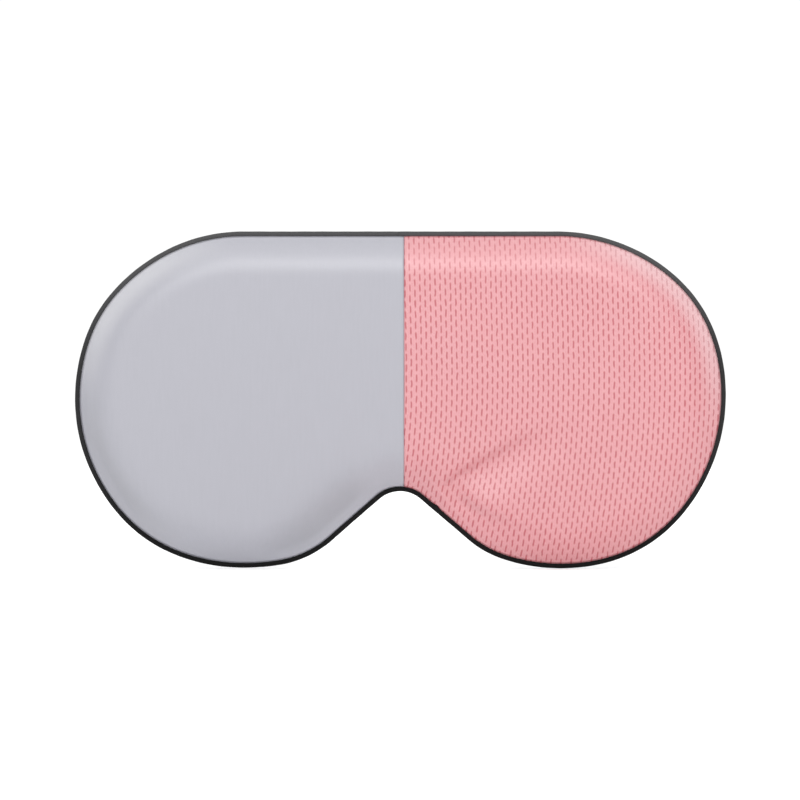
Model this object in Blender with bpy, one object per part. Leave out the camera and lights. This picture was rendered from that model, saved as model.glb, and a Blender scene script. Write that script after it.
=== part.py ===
"""Soft eye massager mask: two padded fabric halves that fold at the nose bridge,
vibration motors and heating films inside, an elastic head strap in two pieces
with a hook-and-loop closure, and a slim control pod clamped on the right strap.

Frame: metres, +Z up, the front (outer) face looks along -Y, the wearer's face is
on the +Y side, and left and right are as seen looking at the front face (+X right).
The origin is the middle of the bounding box's underside.

All sizes below are millimetres, in a working frame whose y = 0 is the seam plane
and whose x = z = 0 is the mask's centre. at() turns them into the part's frame.
"""
import math

import bmesh
import bpy
from mathutils import Vector

MM = 0.001
RIGHT, LEFT = 1, -1
SIDES = {RIGHT: "right", LEFT: "left"}

# ---- mask outline and padding -----------------------------------------------
LOBE_R = 54.3          # radius of each outer lobe; also half the mask's height
LOBE_X = 50.7          # lobe centres, left and right of the middle
# where the lobes fill out past a circle (brow corner, cheek, turn into the flank):
# (push outwards, angle in degrees, spread in degrees)
FULLNESS = [(0.92, 32.0, 21.5), (0.90, -57.6, 24.5), (0.35, -108.0, 10.0)]
FLANK_SLOPE = math.radians(40.94)   # slope of the straight flanks beside the nose
FLANK_D = 53.08        # lobe centre to flank line
CORNER_R = 30.0        # convex corner between lobe and flank
NOSE_R = 10.6          # nose arch radius
SEAM_X = 1.3           # centre seam between the two front fabrics
SEAM_CLEARANCE = 0.15  # seam to each half's edge, at the front face
FOLD_RELIEF = math.tan(math.radians(7.5))   # lets the halves wrap back round a face
PIPE_R = 0.8           # piping cord radius
PIPE_STEPS = dict(top=3, lobe=34, corner=3, nose=6)
FRONT_T = 6.0          # seam plane to front face
REAR_T = 5.5           # seam plane to skin-side face
# panel sections from the rim to the flat face: (inset from the outline, y)
FRONT = [(1.9, -0.5), (2.5, -2.3), (4.4, -4.3), (7.4, -5.5), (11.5, -FRONT_T)]
REAR = [(1.9, 0.5), (2.5, 2.1), (4.4, 3.9), (7.4, 5.0), (11.5, REAR_T)]
CLOTH = 0.8            # fabric thickness with its scrim
FOAM_DEPTH = CLOTH + 0.4   # panel's outer face to the padding
PAD_END = 5.0          # padding stops this short of the centre seam

# ---- vibration motors, one in each half --------------------------------------
MOTOR_X, MOTOR_Z = LOBE_X, 16.0
MOTOR_R = 6.0
MOTOR_Y0, MOTOR_Y1 = -4.4, -0.4    # front and back of the steel can
CAN_T = 0.4            # sheet thickness of the can and the end plate
POCKET_R = 9.0         # pocket in the front padding

# ---- head strap ---------------------------------------------------------------
STRAP_H = 10.0         # half the strap's width
STRAP_T = 1.2          # strap thickness
STRAP_X = 94.0         # straight side run of the strap
STRAP_Y0, STRAP_Y1 = 27.0, 67.0   # start and end of the straight side run
STRAP_BACK = 118.0     # centre line of the inner strap end, behind the seam plane
LAP = 3.6              # how far the outer strap end stands behind the inner one
OVERLAP = 15.0         # each end passes the middle by this much
PIVOT_Y = 12.0         # where the strap bends up and down, behind the seam plane
PIVOT_GAP = 0.6        # tab end and strap end each stop this far from the pivot
HALF_T = STRAP_T / 2
TAB_HALF_T = 0.4
# middle of the tab's section, front to back: (x, y)
TAB_LINE = [(103.5, 1.25), (103.25, 5.0), (102.7, 8.4), (102.0, PIVOT_Y - PIVOT_GAP)]
# cubic Bezier from the temple into the straight side run: (x, y)
TEMPLE_BEND = [(101.9, PIVOT_Y + PIVOT_GAP), (100.2, 18.5), (STRAP_X, 21.0),
               (STRAP_X, STRAP_Y0)]
PATCH_STATIONS = 5     # a closure patch covers this many stations at the strap's end
PATCH_NEAR, PATCH_FAR = HALF_T + 0.12, HALF_T + 0.62   # patch faces, from the centre line

# ---- control pod, stacked outwards from the strap -----------------------------
POD_Y0, POD_Y1 = 26.0, 68.0
POD_H = 14.5           # half the pod's height
POD_OUT = 104.4        # outer face
POD_CORNER = 3.0       # corner radius seen from the side
PART_GAP = 0.3
WALL = 1.2
S_IN, S_OUT = STRAP_X - HALF_T, STRAP_X + HALF_T   # strap faces
CLIP_IN, CLIP_OUT = S_IN - 1.5, S_IN - PART_GAP
BASE_IN, BASE_OUT = S_OUT + PART_GAP, S_OUT + 1.4
RIM = BASE_OUT + PART_GAP      # open edge of the cover
ROOF = POD_OUT - WALL          # inside of the cover's outer wall
SCREW_INSET = 3.4
SCREW_Z = 12.2
SCREWS = [(y, z) for y in (POD_Y0 + SCREW_INSET, POD_Y1 - SCREW_INSET)
          for z in (SCREW_Z, -SCREW_Z)]
BUTTON_Y = {"power": POD_Y0 + 13.0, "mode": POD_Y0 + 27.0}
LENS_Y = POD_Y0 + 36.0
USB_X = RIM + 2.2
USB_HALF_W, USB_HALF_H = 4.5, 1.6
USB_WALL = 0.35
USB_CLEARANCE = 0.4

# ---- wiring ---------------------------------------------------------------------
WIRE_R = 0.45
WIRE_Y = 1.15          # layer between film and rear padding
# (x, z) points
WIRE_RUNS = {
    RIGHT: [(94.5, -12.6), (90.0, -12.6), (80.0, -24.0), (50.0, -30.5), (20.0, -22.0),
            (9.0, -8.0), (8.2, 6.0)],
    LEFT: [(-6.2, 6.0), (-7.0, -8.0), (-20.0, -22.0), (-50.0, -30.5), (-60.0, -29.5)],
}
JUMPER_Z = 6.0
# (x, y) points
JUMPER = [(7.4, WIRE_Y), (4.6, 1.6), (1.3, 2.4), (-2.2, 1.6), (-5.4, WIRE_Y)]
LEAD_R = 0.75
# pod lead from the pod's front wall to the right half: (x, y, z)
LEAD = [(98.6, POD_Y0 + 2.4, -5.0), (98.7, POD_Y0 - 1.2, -5.4), (99.6, 20.5, -9.8),
        (100.6, 17.0, -12.2), (100.6, 12.5, -12.9), (98.6, 9.0, -12.7), (97.1, 6.6, -12.6),
        (96.8, 4.0, -12.6), (96.8, 1.4, -12.6)]


# ---- plane curves ---------------------------------------------------------------
def circle(radius, count):
    return [(radius * math.cos(angle), radius * math.sin(angle))
            for angle in (2 * math.pi * i / count for i in range(count))]


def arc(centre, radius, start, end, steps):
    """Points of an arc between two angles in radians, both ends included."""
    angles = (start + (end - start) * i / steps for i in range(steps + 1))
    return [(centre[0] + radius * math.cos(a), centre[1] + radius * math.sin(a))
            for a in angles]


def neighbours(line, i):
    """The points before and after point i, or point i itself at an end."""
    return line[max(i - 1, 0)], line[min(i + 1, len(line) - 1)]


# ---- the mask's outline ---------------------------------------------------------
NORMAL = (-math.sin(FLANK_SLOPE), -math.cos(FLANK_SLOPE))
ALONG = (math.cos(FLANK_SLOPE), -math.sin(FLANK_SLOPE))
# the corner arc touches both the lobe and the flank
CORNER_SHIFT = math.sqrt((LOBE_R - CORNER_R) ** 2 - (FLANK_D - CORNER_R) ** 2)
CORNER = (LOBE_X + NORMAL[0] * (FLANK_D - CORNER_R) + ALONG[0] * CORNER_SHIFT,
          NORMAL[1] * (FLANK_D - CORNER_R) + ALONG[1] * CORNER_SHIFT)
CORNER_ANGLE = math.atan2(CORNER[1], CORNER[0] - LOBE_X)   # lobe arc ends here
FLANK_ANGLE = math.atan2(NORMAL[1], NORMAL[0])             # flank starts here
# nose arch centre, so that the arch runs into both flanks
NOSE_Z = (NORMAL[0] * -LOBE_X - FLANK_D - NOSE_R) / -NORMAL[1]


def filled(x, z):
    """Pushes a point of the outline out to the lobe's fuller shape."""
    angle = math.degrees(math.atan2(z, x - LOBE_X))
    if angle > 90:
        return x, z
    radius = math.hypot(x - LOBE_X, z)
    push = sum(height * math.exp(-((angle - middle) / spread) ** 2)
               for height, middle, spread in FULLNESS)
    return x + (x - LOBE_X) / radius * push, z + z / radius * push


def half_outline(inset, end, top=2, lobe=26, corner=2, nose=5):
    """Open outline of one half, from the centre seam at the top, round the lobe, to
    the seam at the nose arch. Points are (x, z) with x growing away from the seam."""
    lobe_r = LOBE_R - inset
    nose_r = NOSE_R + inset
    points = [(end + (LOBE_X - end) * i / top, lobe_r) for i in range(top)]
    points += arc((LOBE_X, 0.0), lobe_r, math.radians(90), CORNER_ANGLE, lobe)[:-1]
    points += arc(CORNER, CORNER_R - inset, CORNER_ANGLE, FLANK_ANGLE, corner)
    points += arc((0.0, NOSE_Z), nose_r, math.radians(90) - FLANK_SLOPE,
                  math.acos(end / nose_r), nose)
    return [filled(x, z) for x, z in points]


# the part's frame: y is centred on the whole depth, z = 0 is the piping's lowest point
SHIFT_Y = -(STRAP_BACK + LAP + HALF_T - FRONT_T) / 2
SHIFT_Z = PIPE_R - min(z for _, z in half_outline(PIPE_R, SEAM_X, **PIPE_STEPS))


def at(x, y, z):
    """Working millimetres to the part's frame in metres."""
    return Vector((x * MM, (y + SHIFT_Y) * MM, (z + SHIFT_Z) * MM))


def seam_gap(y):
    """Distance from the seam to a half's edge, opening towards the back."""
    return SEAM_CLEARANCE + max(0.0, y + FRONT_T) * FOLD_RELIEF


def half_ring(side, inset, y, gap):
    """The outline of one half at depth y, in the part's frame."""
    return [at(side * x, y, z) for x, z in half_outline(inset, gap + side * SEAM_X)]


def pushed(profile, depth):
    """Moves an (inset, y) profile by depth, towards the inside of the padding."""
    sign = 1.0 if profile[-1][1] < 0 else -1.0
    moved = []
    for i, (inset, y) in enumerate(profile[:-1]):
        before, after = neighbours(profile, i)
        run, rise = after[0] - before[0], after[1] - before[1]
        length = math.hypot(run, rise)
        moved.append((inset + abs(rise) / length * depth,
                      y + sign * abs(run) / length * depth))
    inset, y = profile[-1]
    return moved + [(inset, y + sign * depth)]


# ---- materials ------------------------------------------------------------------
def material(name, color, rough, metal=0.0):
    mat = bpy.data.materials.new(name)
    mat.use_nodes = True
    inputs = mat.node_tree.nodes["Principled BSDF"].inputs
    inputs["Base Color"].default_value = (*color, 1.0)
    inputs["Roughness"].default_value = rough
    inputs["Metallic"].default_value = metal
    mat.diffuse_color = (*color, 1.0)
    return mat


for old in list(bpy.data.objects):
    bpy.data.objects.remove(old, do_unlink=True)

SATIN = material("grey_satin", color=(0.53, 0.53, 0.58), rough=0.55)
MESH = material("pink_mesh", color=(0.87, 0.42, 0.44), rough=0.8)
LINING = material("lining", color=(0.62, 0.62, 0.66), rough=0.7)
CORD = material("piping", color=(0.05, 0.05, 0.055), rough=0.6)
FOAM = material("foam", color=(0.86, 0.84, 0.76), rough=0.9)
FILM = material("heating_film", color=(0.55, 0.27, 0.06), rough=0.35)
ELASTIC = material("elastic", color=(0.06, 0.06, 0.065), rough=0.85)
HOOK = material("hook_loop", color=(0.03, 0.03, 0.033), rough=0.95)
SHELL = material("pod_shell", color=(0.10, 0.10, 0.11), rough=0.5)
KEY = material("button_caps", color=(0.52, 0.52, 0.56), rough=0.45)
STEEL = material("steel", color=(0.62, 0.62, 0.62), rough=0.3, metal=1.0)
WEIGHT = material("tungsten_weight", color=(0.35, 0.35, 0.36), rough=0.35, metal=1.0)
RUBBER = material("rubber", color=(0.04, 0.04, 0.04), rough=0.8)
BOARD = material("circuit_board", color=(0.02, 0.20, 0.09), rough=0.5)
CELL = material("battery_wrap", color=(0.70, 0.70, 0.72), rough=0.35, metal=0.6)
WIRE = material("wire", color=(0.08, 0.08, 0.09), rough=0.6)
LENS = material("light_lens", color=(0.90, 0.92, 0.95), rough=0.2)


# ---- objects --------------------------------------------------------------------
def frame_origin(ob):
    """Where an object's origin lies in the part's frame; parents only translate."""
    origin = Vector((0, 0, 0))
    while ob is not None:
        origin += ob.location
        ob = ob.parent
    return origin


def empty(name, point, parent=None):
    """An empty at a point of the part's frame, marking a joint axis."""
    marker = bpy.data.objects.new(name, None)
    marker.empty_display_size = 0.01
    marker.location = point - frame_origin(parent)
    marker.parent = parent
    bpy.context.collection.objects.link(marker)
    return marker


def emit(name, bm, mat, parent=None, smooth=40.0):
    """A bmesh in part-frame metres becomes one object whose origin is its parent's.
    Edges sharper than smooth (degrees) stay crisp; None leaves all faces flat."""
    bmesh.ops.recalc_face_normals(bm, faces=bm.faces)
    bmesh.ops.translate(bm, vec=-frame_origin(parent), verts=bm.verts)
    mesh = bpy.data.meshes.new(name)
    bm.to_mesh(mesh)
    bm.free()
    mesh.materials.append(mat)
    if smooth:
        mesh.shade_smooth()
        mesh.set_sharp_from_angle(angle=math.radians(smooth))
    ob = bpy.data.objects.new(name, mesh)
    bpy.context.collection.objects.link(ob)
    ob.parent = parent
    return ob


def cutter(ob):
    ob.hide_render = True
    ob.display_type = "WIRE"
    return ob


def boolean(ob, tool, name, operation):
    mod = ob.modifiers.new(name, "BOOLEAN")
    mod.operation = operation
    mod.solver = "EXACT"
    mod.object = tool


def cut(ob, tool):
    boolean(ob, tool, "cut_" + tool.name, "DIFFERENCE")


# ---- solids ---------------------------------------------------------------------
def add_ring(bm, points):
    return [bm.verts.new(p) for p in points]


def bridge(bm, first, second, closed=True):
    """A strip of quads between two rows of vertices."""
    count = len(first)
    for j in range(count if closed else count - 1):
        k = (j + 1) % count
        bm.faces.new((first[j], first[k], second[k], second[j]))


def prism(name, rings, mat, parent=None, smooth=40.0, bevel=0.0):
    """Stacks closed rings of equal length into one solid, capped at both ends."""
    bm = bmesh.new()
    rows = [add_ring(bm, ring) for ring in rings]
    for first, second in zip(rows, rows[1:]):
        bridge(bm, first, second)
    bm.faces.new(rows[0])
    bm.faces.new(list(reversed(rows[-1])))
    if bevel:
        bmesh.ops.bevel(bm, geom=list(bm.edges), offset=bevel * MM, segments=2,
                        profile=0.5, affect="EDGES")
    return emit(name, bm, mat, parent, smooth)


def block(name, low, high, mat, parent=None, bevel=0.0):
    """A box given by two corners."""
    x0, y0, z0 = low
    x1, y1, z1 = high
    rings = [[at(x0, y0, z), at(x1, y0, z), at(x1, y1, z), at(x0, y1, z)] for z in (z0, z1)]
    return prism(name, rings, mat, parent, bevel=bevel)


def round_block(name, low, high, radius, parent, edge=0.0):
    """A shell plate whose four corners, seen along X, are rounded; edge softens the
    outer face's rim."""
    x0, y0, z0 = low
    x1, y1, z1 = high
    corners = ((y1 - radius, z1 - radius), (y0 + radius, z1 - radius),
               (y0 + radius, z0 + radius), (y1 - radius, z0 + radius))
    quarter = math.pi / 2

    def ring(x, inset):
        return [at(x, y, z) for i, centre in enumerate(corners)
                for y, z in arc(centre, radius - inset, i * quarter, (i + 1) * quarter, 4)]

    stations = [(x0, 0.0)]
    if edge:
        stations += [(x1 - edge, 0.0), (x1 - edge * 0.3, edge * 0.3), (x1, edge)]
    else:
        stations += [(x1, 0.0)]
    return prism(name, [ring(x, inset) for x, inset in stations], SHELL, parent)


def lathe(name, profile, centre, mat, parent, seg, axis="Y"):
    """Turns a (radius, along-axis) profile round the Y or X axis through centre.
    A profile either starts and ends on the axis, or is a closed loop clear of it."""
    cx, cy, cz = centre
    bm = bmesh.new()

    def place(across, along, z):
        if axis == "Y":
            return at(cx + across, cy + along, cz + z)
        return at(cx + along, cy + across, cz + z)

    rows = []
    for radius, along in profile:
        section = circle(radius, seg) if radius else [(0.0, 0.0)]
        rows.append(add_ring(bm, [place(across, along, z) for across, z in section]))
    pairs = list(zip(rows, rows[1:]))
    if all(len(row) > 1 for row in rows):
        pairs.append((rows[-1], rows[0]))
    for first, second in pairs:
        if len(first) == len(second):
            bridge(bm, first, second)
            continue
        for j in range(seg):
            k = (j + 1) % seg
            if len(first) == 1:
                bm.faces.new((first[0], second[j], second[k]))
            else:
                bm.faces.new((first[j], first[k], second[0]))
    return emit(name, bm, mat, parent)


def rod_cutter(name, centre, radius, start, end, mat, parent, seg, axis):
    profile = [(0, start), (radius, start), (radius, end), (0, end)]
    return cutter(lathe(name, profile, centre, mat, parent, seg, axis))


def tube(name, points, radius, mat, parent=None, up=(0, 0, 1)):
    """A six-sided cord along a list of part-frame points, with flat ends."""
    up = Vector(up)
    rings = []
    for i, point in enumerate(points):
        before, after = neighbours(points, i)
        tangent = (after - before).normalized()
        u_dir = up - tangent * up.dot(tangent)
        u_dir.normalize()
        v_dir = tangent.cross(u_dir)
        rings.append([point + (u_dir * u + v_dir * v) * radius * MM
                      for u, v in circle(1.0, 6)])
    return prism(name, rings, mat, parent, smooth=70.0)


# ---- padded half ----------------------------------------------------------------
def panel(name, side, profile, mat, parent):
    """One fabric panel: a shallow dish with an open edge along the centre seam."""
    bm = bmesh.new()
    outer, inner = ([add_ring(bm, half_ring(side, inset, y, seam_gap(y)))
                     for inset, y in section]
                    for section in (profile, pushed(profile, CLOTH)))
    for rows in (outer, inner):
        for first, second in zip(rows, rows[1:]):
            bridge(bm, first, second, closed=False)
        bm.faces.new(rows[-1])
    bridge(bm, outer[0], inner[0], closed=False)
    # the fabric's thickness along the seam
    for end in (0, -1):
        bridge(bm, [row[end] for row in outer], [row[end] for row in inner], closed=False)
    bm.faces.new((outer[-1][0], outer[-1][-1], inner[-1][-1], inner[-1][0]))
    emit(name, bm, mat, parent, smooth=50.0)


def pad(name, side, stations, parent):
    """A padding slab through (inset, y) stations from one face to the other."""
    rings = [half_ring(side, inset, y, PAD_END) for inset, y in stations]
    return prism(name, rings, FOAM, parent)


def padding(side, tag, parent):
    """Front and rear foam; the front one has a pocket for the motor."""
    rim_inset = 0.2
    section = pushed(FRONT, FOAM_DEPTH)
    front = pad(f"front_foam_{tag}", side,
                [(section[0][0] + rim_inset, -0.3)] + section[1:], parent)
    section = pushed(REAR, FOAM_DEPTH)
    pad(f"rear_foam_{tag}", side, [(section[1][0] + rim_inset, 1.8)] + section[2:], parent)
    cut(front, rod_cutter(f"cut_motor_pocket_{tag}", (side * MOTOR_X, 0, MOTOR_Z), POCKET_R,
                          -8.0, 2.0, FOAM, parent, seg=18, axis="Y"))


def piping(side, tag, parent):
    line = half_outline(PIPE_R, seam_gap(PIPE_R) + side * SEAM_X, **PIPE_STEPS)
    tube(f"piping_{tag}", [at(side * x, 0, z) for x, z in line], PIPE_R, CORD, parent,
         up=(0, 1, 0))


def heating(side, tag, parent):
    """Thin oval film between the two paddings, with a temperature sensor behind it."""
    film_x, film_z = side * 52.0, -2.0
    half_w, half_h = 33.0, 24.0
    rings = [[at(film_x + half_w * u, y, film_z + half_h * v) for u, v in circle(1.0, 24)]
             for y in (0.15, 0.45)]
    prism(f"heating_film_{tag}", rings, FILM, parent)
    sensor_x = side * 50.0
    block(f"temperature_sensor_{tag}", (sensor_x - 2.0, 0.7, -14.0),
          (sensor_x + 2.0, 1.5, -11.0), STEEL, parent)


def motor(side, tag, parent):
    """Coin motor: rubber holder, steel can, end plate with fixed shaft, rotor."""
    centre = (side * MOTOR_X, 0.0, MOTOR_Z)
    holder_in, holder_out, holder_back = 6.4, 8.6, -0.6
    plate_r, shaft_r, shaft_tip = 5.3, 0.5, -3.7
    can_bore, can_floor = MOTOR_R - CAN_T, MOTOR_Y0 + CAN_T
    plate_front = MOTOR_Y1 - CAN_T
    lathe(f"motor_holder_{tag}",
          [(holder_in, MOTOR_Y0), (holder_out, MOTOR_Y0), (holder_out, holder_back),
           (holder_in, holder_back)], centre, RUBBER, parent, seg=20)
    lathe(f"motor_can_{tag}",
          [(0, MOTOR_Y0), (MOTOR_R, MOTOR_Y0), (MOTOR_R, MOTOR_Y1), (can_bore, MOTOR_Y1),
           (can_bore, can_floor), (0, can_floor)], centre, STEEL, parent, seg=20)
    lathe(f"motor_end_plate_{tag}",
          [(0, MOTOR_Y1), (plate_r, MOTOR_Y1), (plate_r, plate_front),
           (shaft_r, plate_front), (shaft_r, shaft_tip), (0, shaft_tip)],
          centre, STEEL, parent, seg=20)
    rotor(tag, centre, empty(f"axis_rotor_{tag}", at(*centre), parent))


def rotor(tag, centre, axis):
    """Eccentric weight: a hub ring with a half-disc on its lower side."""
    bore_r, hub_r, rim_r = 0.8, 1.6, 5.0
    front, back = -3.5, -1.3
    bore = circle(bore_r, 24)
    edge = []
    for u, v in circle(1.0, 24):
        # the margin keeps both ends of the horizontal diameter on the half-disc
        radius = rim_r if v < 0.01 else hub_r
        edge.append((radius * u, radius * v))
    bm = bmesh.new()
    cx, _, cz = centre
    bore_front, bore_back, edge_front, edge_back = (
        add_ring(bm, [at(cx + x, y, cz + z) for x, z in outline])
        for outline in (bore, edge) for y in (front, back))
    bridge(bm, bore_front, bore_back)
    bridge(bm, edge_front, edge_back)
    bridge(bm, bore_front, edge_front)
    bridge(bm, bore_back, edge_back)
    emit(f"motor_rotor_{tag}", bm, WEIGHT, axis, smooth=None)


def wiring(side, tag, parent):
    tube(f"wiring_{tag}", [at(x, WIRE_Y, z) for x, z in WIRE_RUNS[side]], WIRE_R, WIRE,
         parent, up=(0, 1, 0))


def strap_tab(side, tag, parent):
    """Elastic tab sewn in behind the piping at the temple."""
    section = ((-TAB_HALF_T, -STRAP_H), (TAB_HALF_T, -STRAP_H), (TAB_HALF_T, STRAP_H),
               (-TAB_HALF_T, STRAP_H))
    rings = [[at(side * (x + dx), y, z) for dx, z in section] for x, y in TAB_LINE]
    prism(f"strap_tab_{tag}", rings, ELASTIC, parent)


# ---- head strap -----------------------------------------------------------------
def strap_line(back):
    """Centre line of one strap half, seen from above, as (x, y) with x away from the
    middle: temple bend, straight side, then a quarter ellipse round the head."""
    points = []
    for i in range(7):
        t = i / 6
        weights = [(1 - t) ** 3, 3 * t * (1 - t) ** 2, 3 * t * t * (1 - t), t ** 3]
        points.append(tuple(sum(w * p[k] for w, p in zip(weights, TEMPLE_BEND))
                            for k in (0, 1)))
    past_middle = math.asin(OVERLAP / STRAP_X)
    # the ellipse starts at the end of the straight run
    for i in range(16):
        angle = (math.pi / 2 + past_middle) * i / 15
        points.append((STRAP_X * math.cos(angle),
                       STRAP_Y1 + (back - STRAP_Y1) * math.sin(angle)))
    return points


def band(name, side, line, half_h, inner, outer, mat, parent):
    """A flat band that follows a line seen from above, between two offsets from it.
    Near the tilt pivot it narrows to a point, with edges at 60 degrees."""
    rings = []
    for i, (x, y) in enumerate(line):
        before, after = neighbours(line, i)
        tx, ty = after[0] - before[0], after[1] - before[1]
        length = math.hypot(tx, ty)
        nx, ny = ty / length, -tx / length      # outward, away from the head
        h = min(half_h, max(0.9, (y - PIVOT_Y) * math.tan(math.radians(60))))
        rings.append([at(side * (x + nx * offset), y + ny * offset, z)
                      for offset, z in ((inner, -h), (outer, -h), (outer, h), (inner, h))])
    prism(name, rings, mat, parent)


def head_strap(tilt):
    """Both strap halves; loop tape outside the right end, hook tape inside the left."""
    lines = {RIGHT: strap_line(STRAP_BACK), LEFT: strap_line(STRAP_BACK + LAP)}
    for side, tag in SIDES.items():
        band(f"strap_{tag}", side, lines[side], STRAP_H, -HALF_T, HALF_T, ELASTIC,
             tilt[side])
    for name, side, inner, outer in (("loop_patch", RIGHT, PATCH_NEAR, PATCH_FAR),
                                     ("hook_patch", LEFT, -PATCH_FAR, -PATCH_NEAR)):
        band(name, side, lines[side][-PATCH_STATIONS:], STRAP_H - 1.0, inner, outer, HOOK,
             tilt[side])


# ---- control pod ----------------------------------------------------------------
def drill(name, y, z, radius, x0, x1, parent, seg):
    return rod_cutter(name, (0, y, z), radius, x0, x1, STEEL, parent, seg, axis="X")


def pod_shell(parent):
    """Clip inside the strap, base outside it, and the hollow cover; returns all three."""
    def plate(name, x0, x1, edge=0.0):
        return round_block(name, (x0, POD_Y0, -POD_H), (x1, POD_Y1, POD_H), POD_CORNER,
                           parent, edge)

    clip = plate("pod_clip", CLIP_IN, CLIP_OUT)
    base = plate("pod_base", BASE_IN, BASE_OUT)
    cover = plate("pod_cover", RIM, POD_OUT, edge=1.6)
    cut(cover, cutter(round_block("cut_pod_room", (RIM - 1.0, POD_Y0 + WALL, -POD_H + WALL),
                                  (ROOF, POD_Y1 - WALL, POD_H - WALL), 1.9, parent)))
    return clip, base, cover


def pod_screws(clip, base, cover, parent):
    """Corner pillars inside the cover, and the screws that run into them."""
    for i, (y, z) in enumerate(SCREWS, 1):
        pillar = rod_cutter(f"cut_pillar_{i}", (0, y, z), 2.0, RIM, ROOF + 0.5, SHELL,
                            parent, seg=12, axis="X")
        boolean(cover, pillar, f"pillar_{i}", "UNION")
    head_top, head_edge, head_seat = S_IN - 2.5, S_IN - 2.2, S_IN - 1.6
    head_r, shank_r, tip = 1.7, 0.85, ROOF - 1.6
    for i, (y, z) in enumerate(SCREWS, 1):
        hole = drill(f"cut_screw_{i}", y, z, 1.15, S_IN - 3.0, ROOF - 1.0, parent, seg=10)
        for ob in (clip, base, cover):
            cut(ob, hole)
        lathe(f"pod_screw_{i}",
              [(0, head_top), (1.3, head_top), (head_r, head_edge), (head_r, head_seat),
               (shank_r, head_seat), (shank_r, tip), (0, tip)],
              (0, y, z), STEEL, parent, seg=10, axis="X")


def pod_button(tag, y, cover, parent):
    """A flanged cap on its own axis, through the cover, above a small switch."""
    flange_r, cap_r, hole_r = 4.2, 3.3, 3.6
    flange_in, flange_out = ROOF - 0.6, ROOF - 0.2
    crown = POD_OUT + 0.55
    cut(cover, drill(f"cut_{tag}_hole", y, 0, hole_r, ROOF - 1.0, POD_OUT + 1.0, parent,
                     seg=20))
    axis = empty(f"axis_{tag}_button", at(POD_OUT, y, 0), parent)
    lathe(f"{tag}_button",
          [(0, flange_in), (flange_r, flange_in), (flange_r, flange_out),
           (cap_r, flange_out), (cap_r, POD_OUT + 0.3), (3.0, crown), (0, crown)],
          (0, y, 0), KEY, axis, seg=20, axis="X")
    block(f"{tag}_switch", (ROOF - 1.9, y - 2.2, -2.2), (ROOF - 1.3, y + 2.2, 2.2), STEEL,
          parent)


def status_lens(cover, parent):
    cut(cover, drill("cut_lens_hole", LENS_Y, 0, 1.5, ROOF - 1.0, POD_OUT + 1.0, parent,
                     seg=12))
    lathe("status_lens",
          [(0, ROOF - 1.8), (1.2, ROOF - 1.8), (1.2, POD_OUT - 0.05), (0, POD_OUT + 0.1)],
          (0, LENS_Y, 0), LENS, parent, seg=12, axis="X")


def board_and_battery(parent):
    block("control_board", (ROOF - 2.9, POD_Y0 + 6.2, -9.4), (ROOF - 2.1, POD_Y1 - 6.2, 9.4),
          BOARD, parent)
    block("battery_cell", (RIM + 0.3, POD_Y0 + 7.0, -8.6), (ROOF - 3.2, POD_Y0 + 31.0, 8.6),
          CELL, parent, bevel=0.7)


def usb_ring(y, grow):
    """Rounded slot section of the USB-C shell, long along Z, grown by an offset."""
    half_w, radius = USB_HALF_W + grow, USB_HALF_H + grow
    end_z = half_w - radius
    quarter = math.pi / 2
    points = (arc((end_z, USB_X), radius, -quarter, quarter, 4)
              + arc((-end_z, USB_X), radius, quarter, 3 * quarter, 4))
    return [at(x, y, z) for z, x in points]


def usb_socket(cover, parent):
    """Socket on the board's inner side, its mouth through the pod's rear wall."""
    mouth = POD_Y1 - 0.4
    prism("usb_c_socket",
          [usb_ring(POD_Y1 - 7.6, 0.0), usb_ring(mouth, 0.0), usb_ring(mouth, -USB_WALL),
           usb_ring(POD_Y1 - 6.6, -USB_WALL)], STEEL, parent)
    rings = [usb_ring(y, USB_CLEARANCE) for y in (POD_Y1 - 3.0, POD_Y1 + 2.0)]
    cut(cover, cutter(prism("cut_usb_mouth", rings, STEEL, parent)))


def smooth_line(points, per):
    """Catmull-Rom curve through the given points, with per steps to each span."""
    knots = [Vector(p) for p in points]
    curve = []
    for i in range(len(knots) - 1):
        a, d = knots[max(i - 1, 0)], knots[min(i + 2, len(knots) - 1)]
        b, c = knots[i], knots[i + 1]
        for k in range(per):
            t = k / per
            curve.append(0.5 * ((2 * b) + (c - a) * t + (2 * a - 5 * b + 4 * c - d) * t * t
                                + (3 * b - a - 3 * c + d) * t ** 3))
    return curve + [knots[-1]]


def pod_lead(cover, parent):
    """Power lead that passes below the strap's edge, with its holes at both ends."""
    tube("pod_lead", [at(*p) for p in smooth_line(LEAD, per=2)], LEAD_R, WIRE, parent)
    exit_x, _, exit_z = LEAD[0]
    rings = [[at(exit_x + x, y, exit_z + z) for x, z in circle(1.15, 12)]
             for y in (POD_Y0 - 1.5, POD_Y0 + 2.2)]
    cut(cover, cutter(prism("cut_lead_exit", rings, WIRE, parent)))
    entry_x, _, entry_z = LEAD[-1]
    entry = rod_cutter("cut_lead_entry", (entry_x, 0, entry_z), 1.25, 0.3, 8.0, FOAM, None,
                       seg=18, axis="Y")
    for name in ("rear_panel_right", "rear_foam_right"):
        cut(bpy.data.objects[name], entry)


def control_pod(parent):
    clip, base, cover = pod_shell(parent)
    pod_screws(clip, base, cover, parent)
    for tag, y in BUTTON_Y.items():
        pod_button(tag, y, cover, parent)
    status_lens(cover, parent)
    board_and_battery(parent)
    usb_socket(cover, parent)
    pod_lead(cover, parent)


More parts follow.
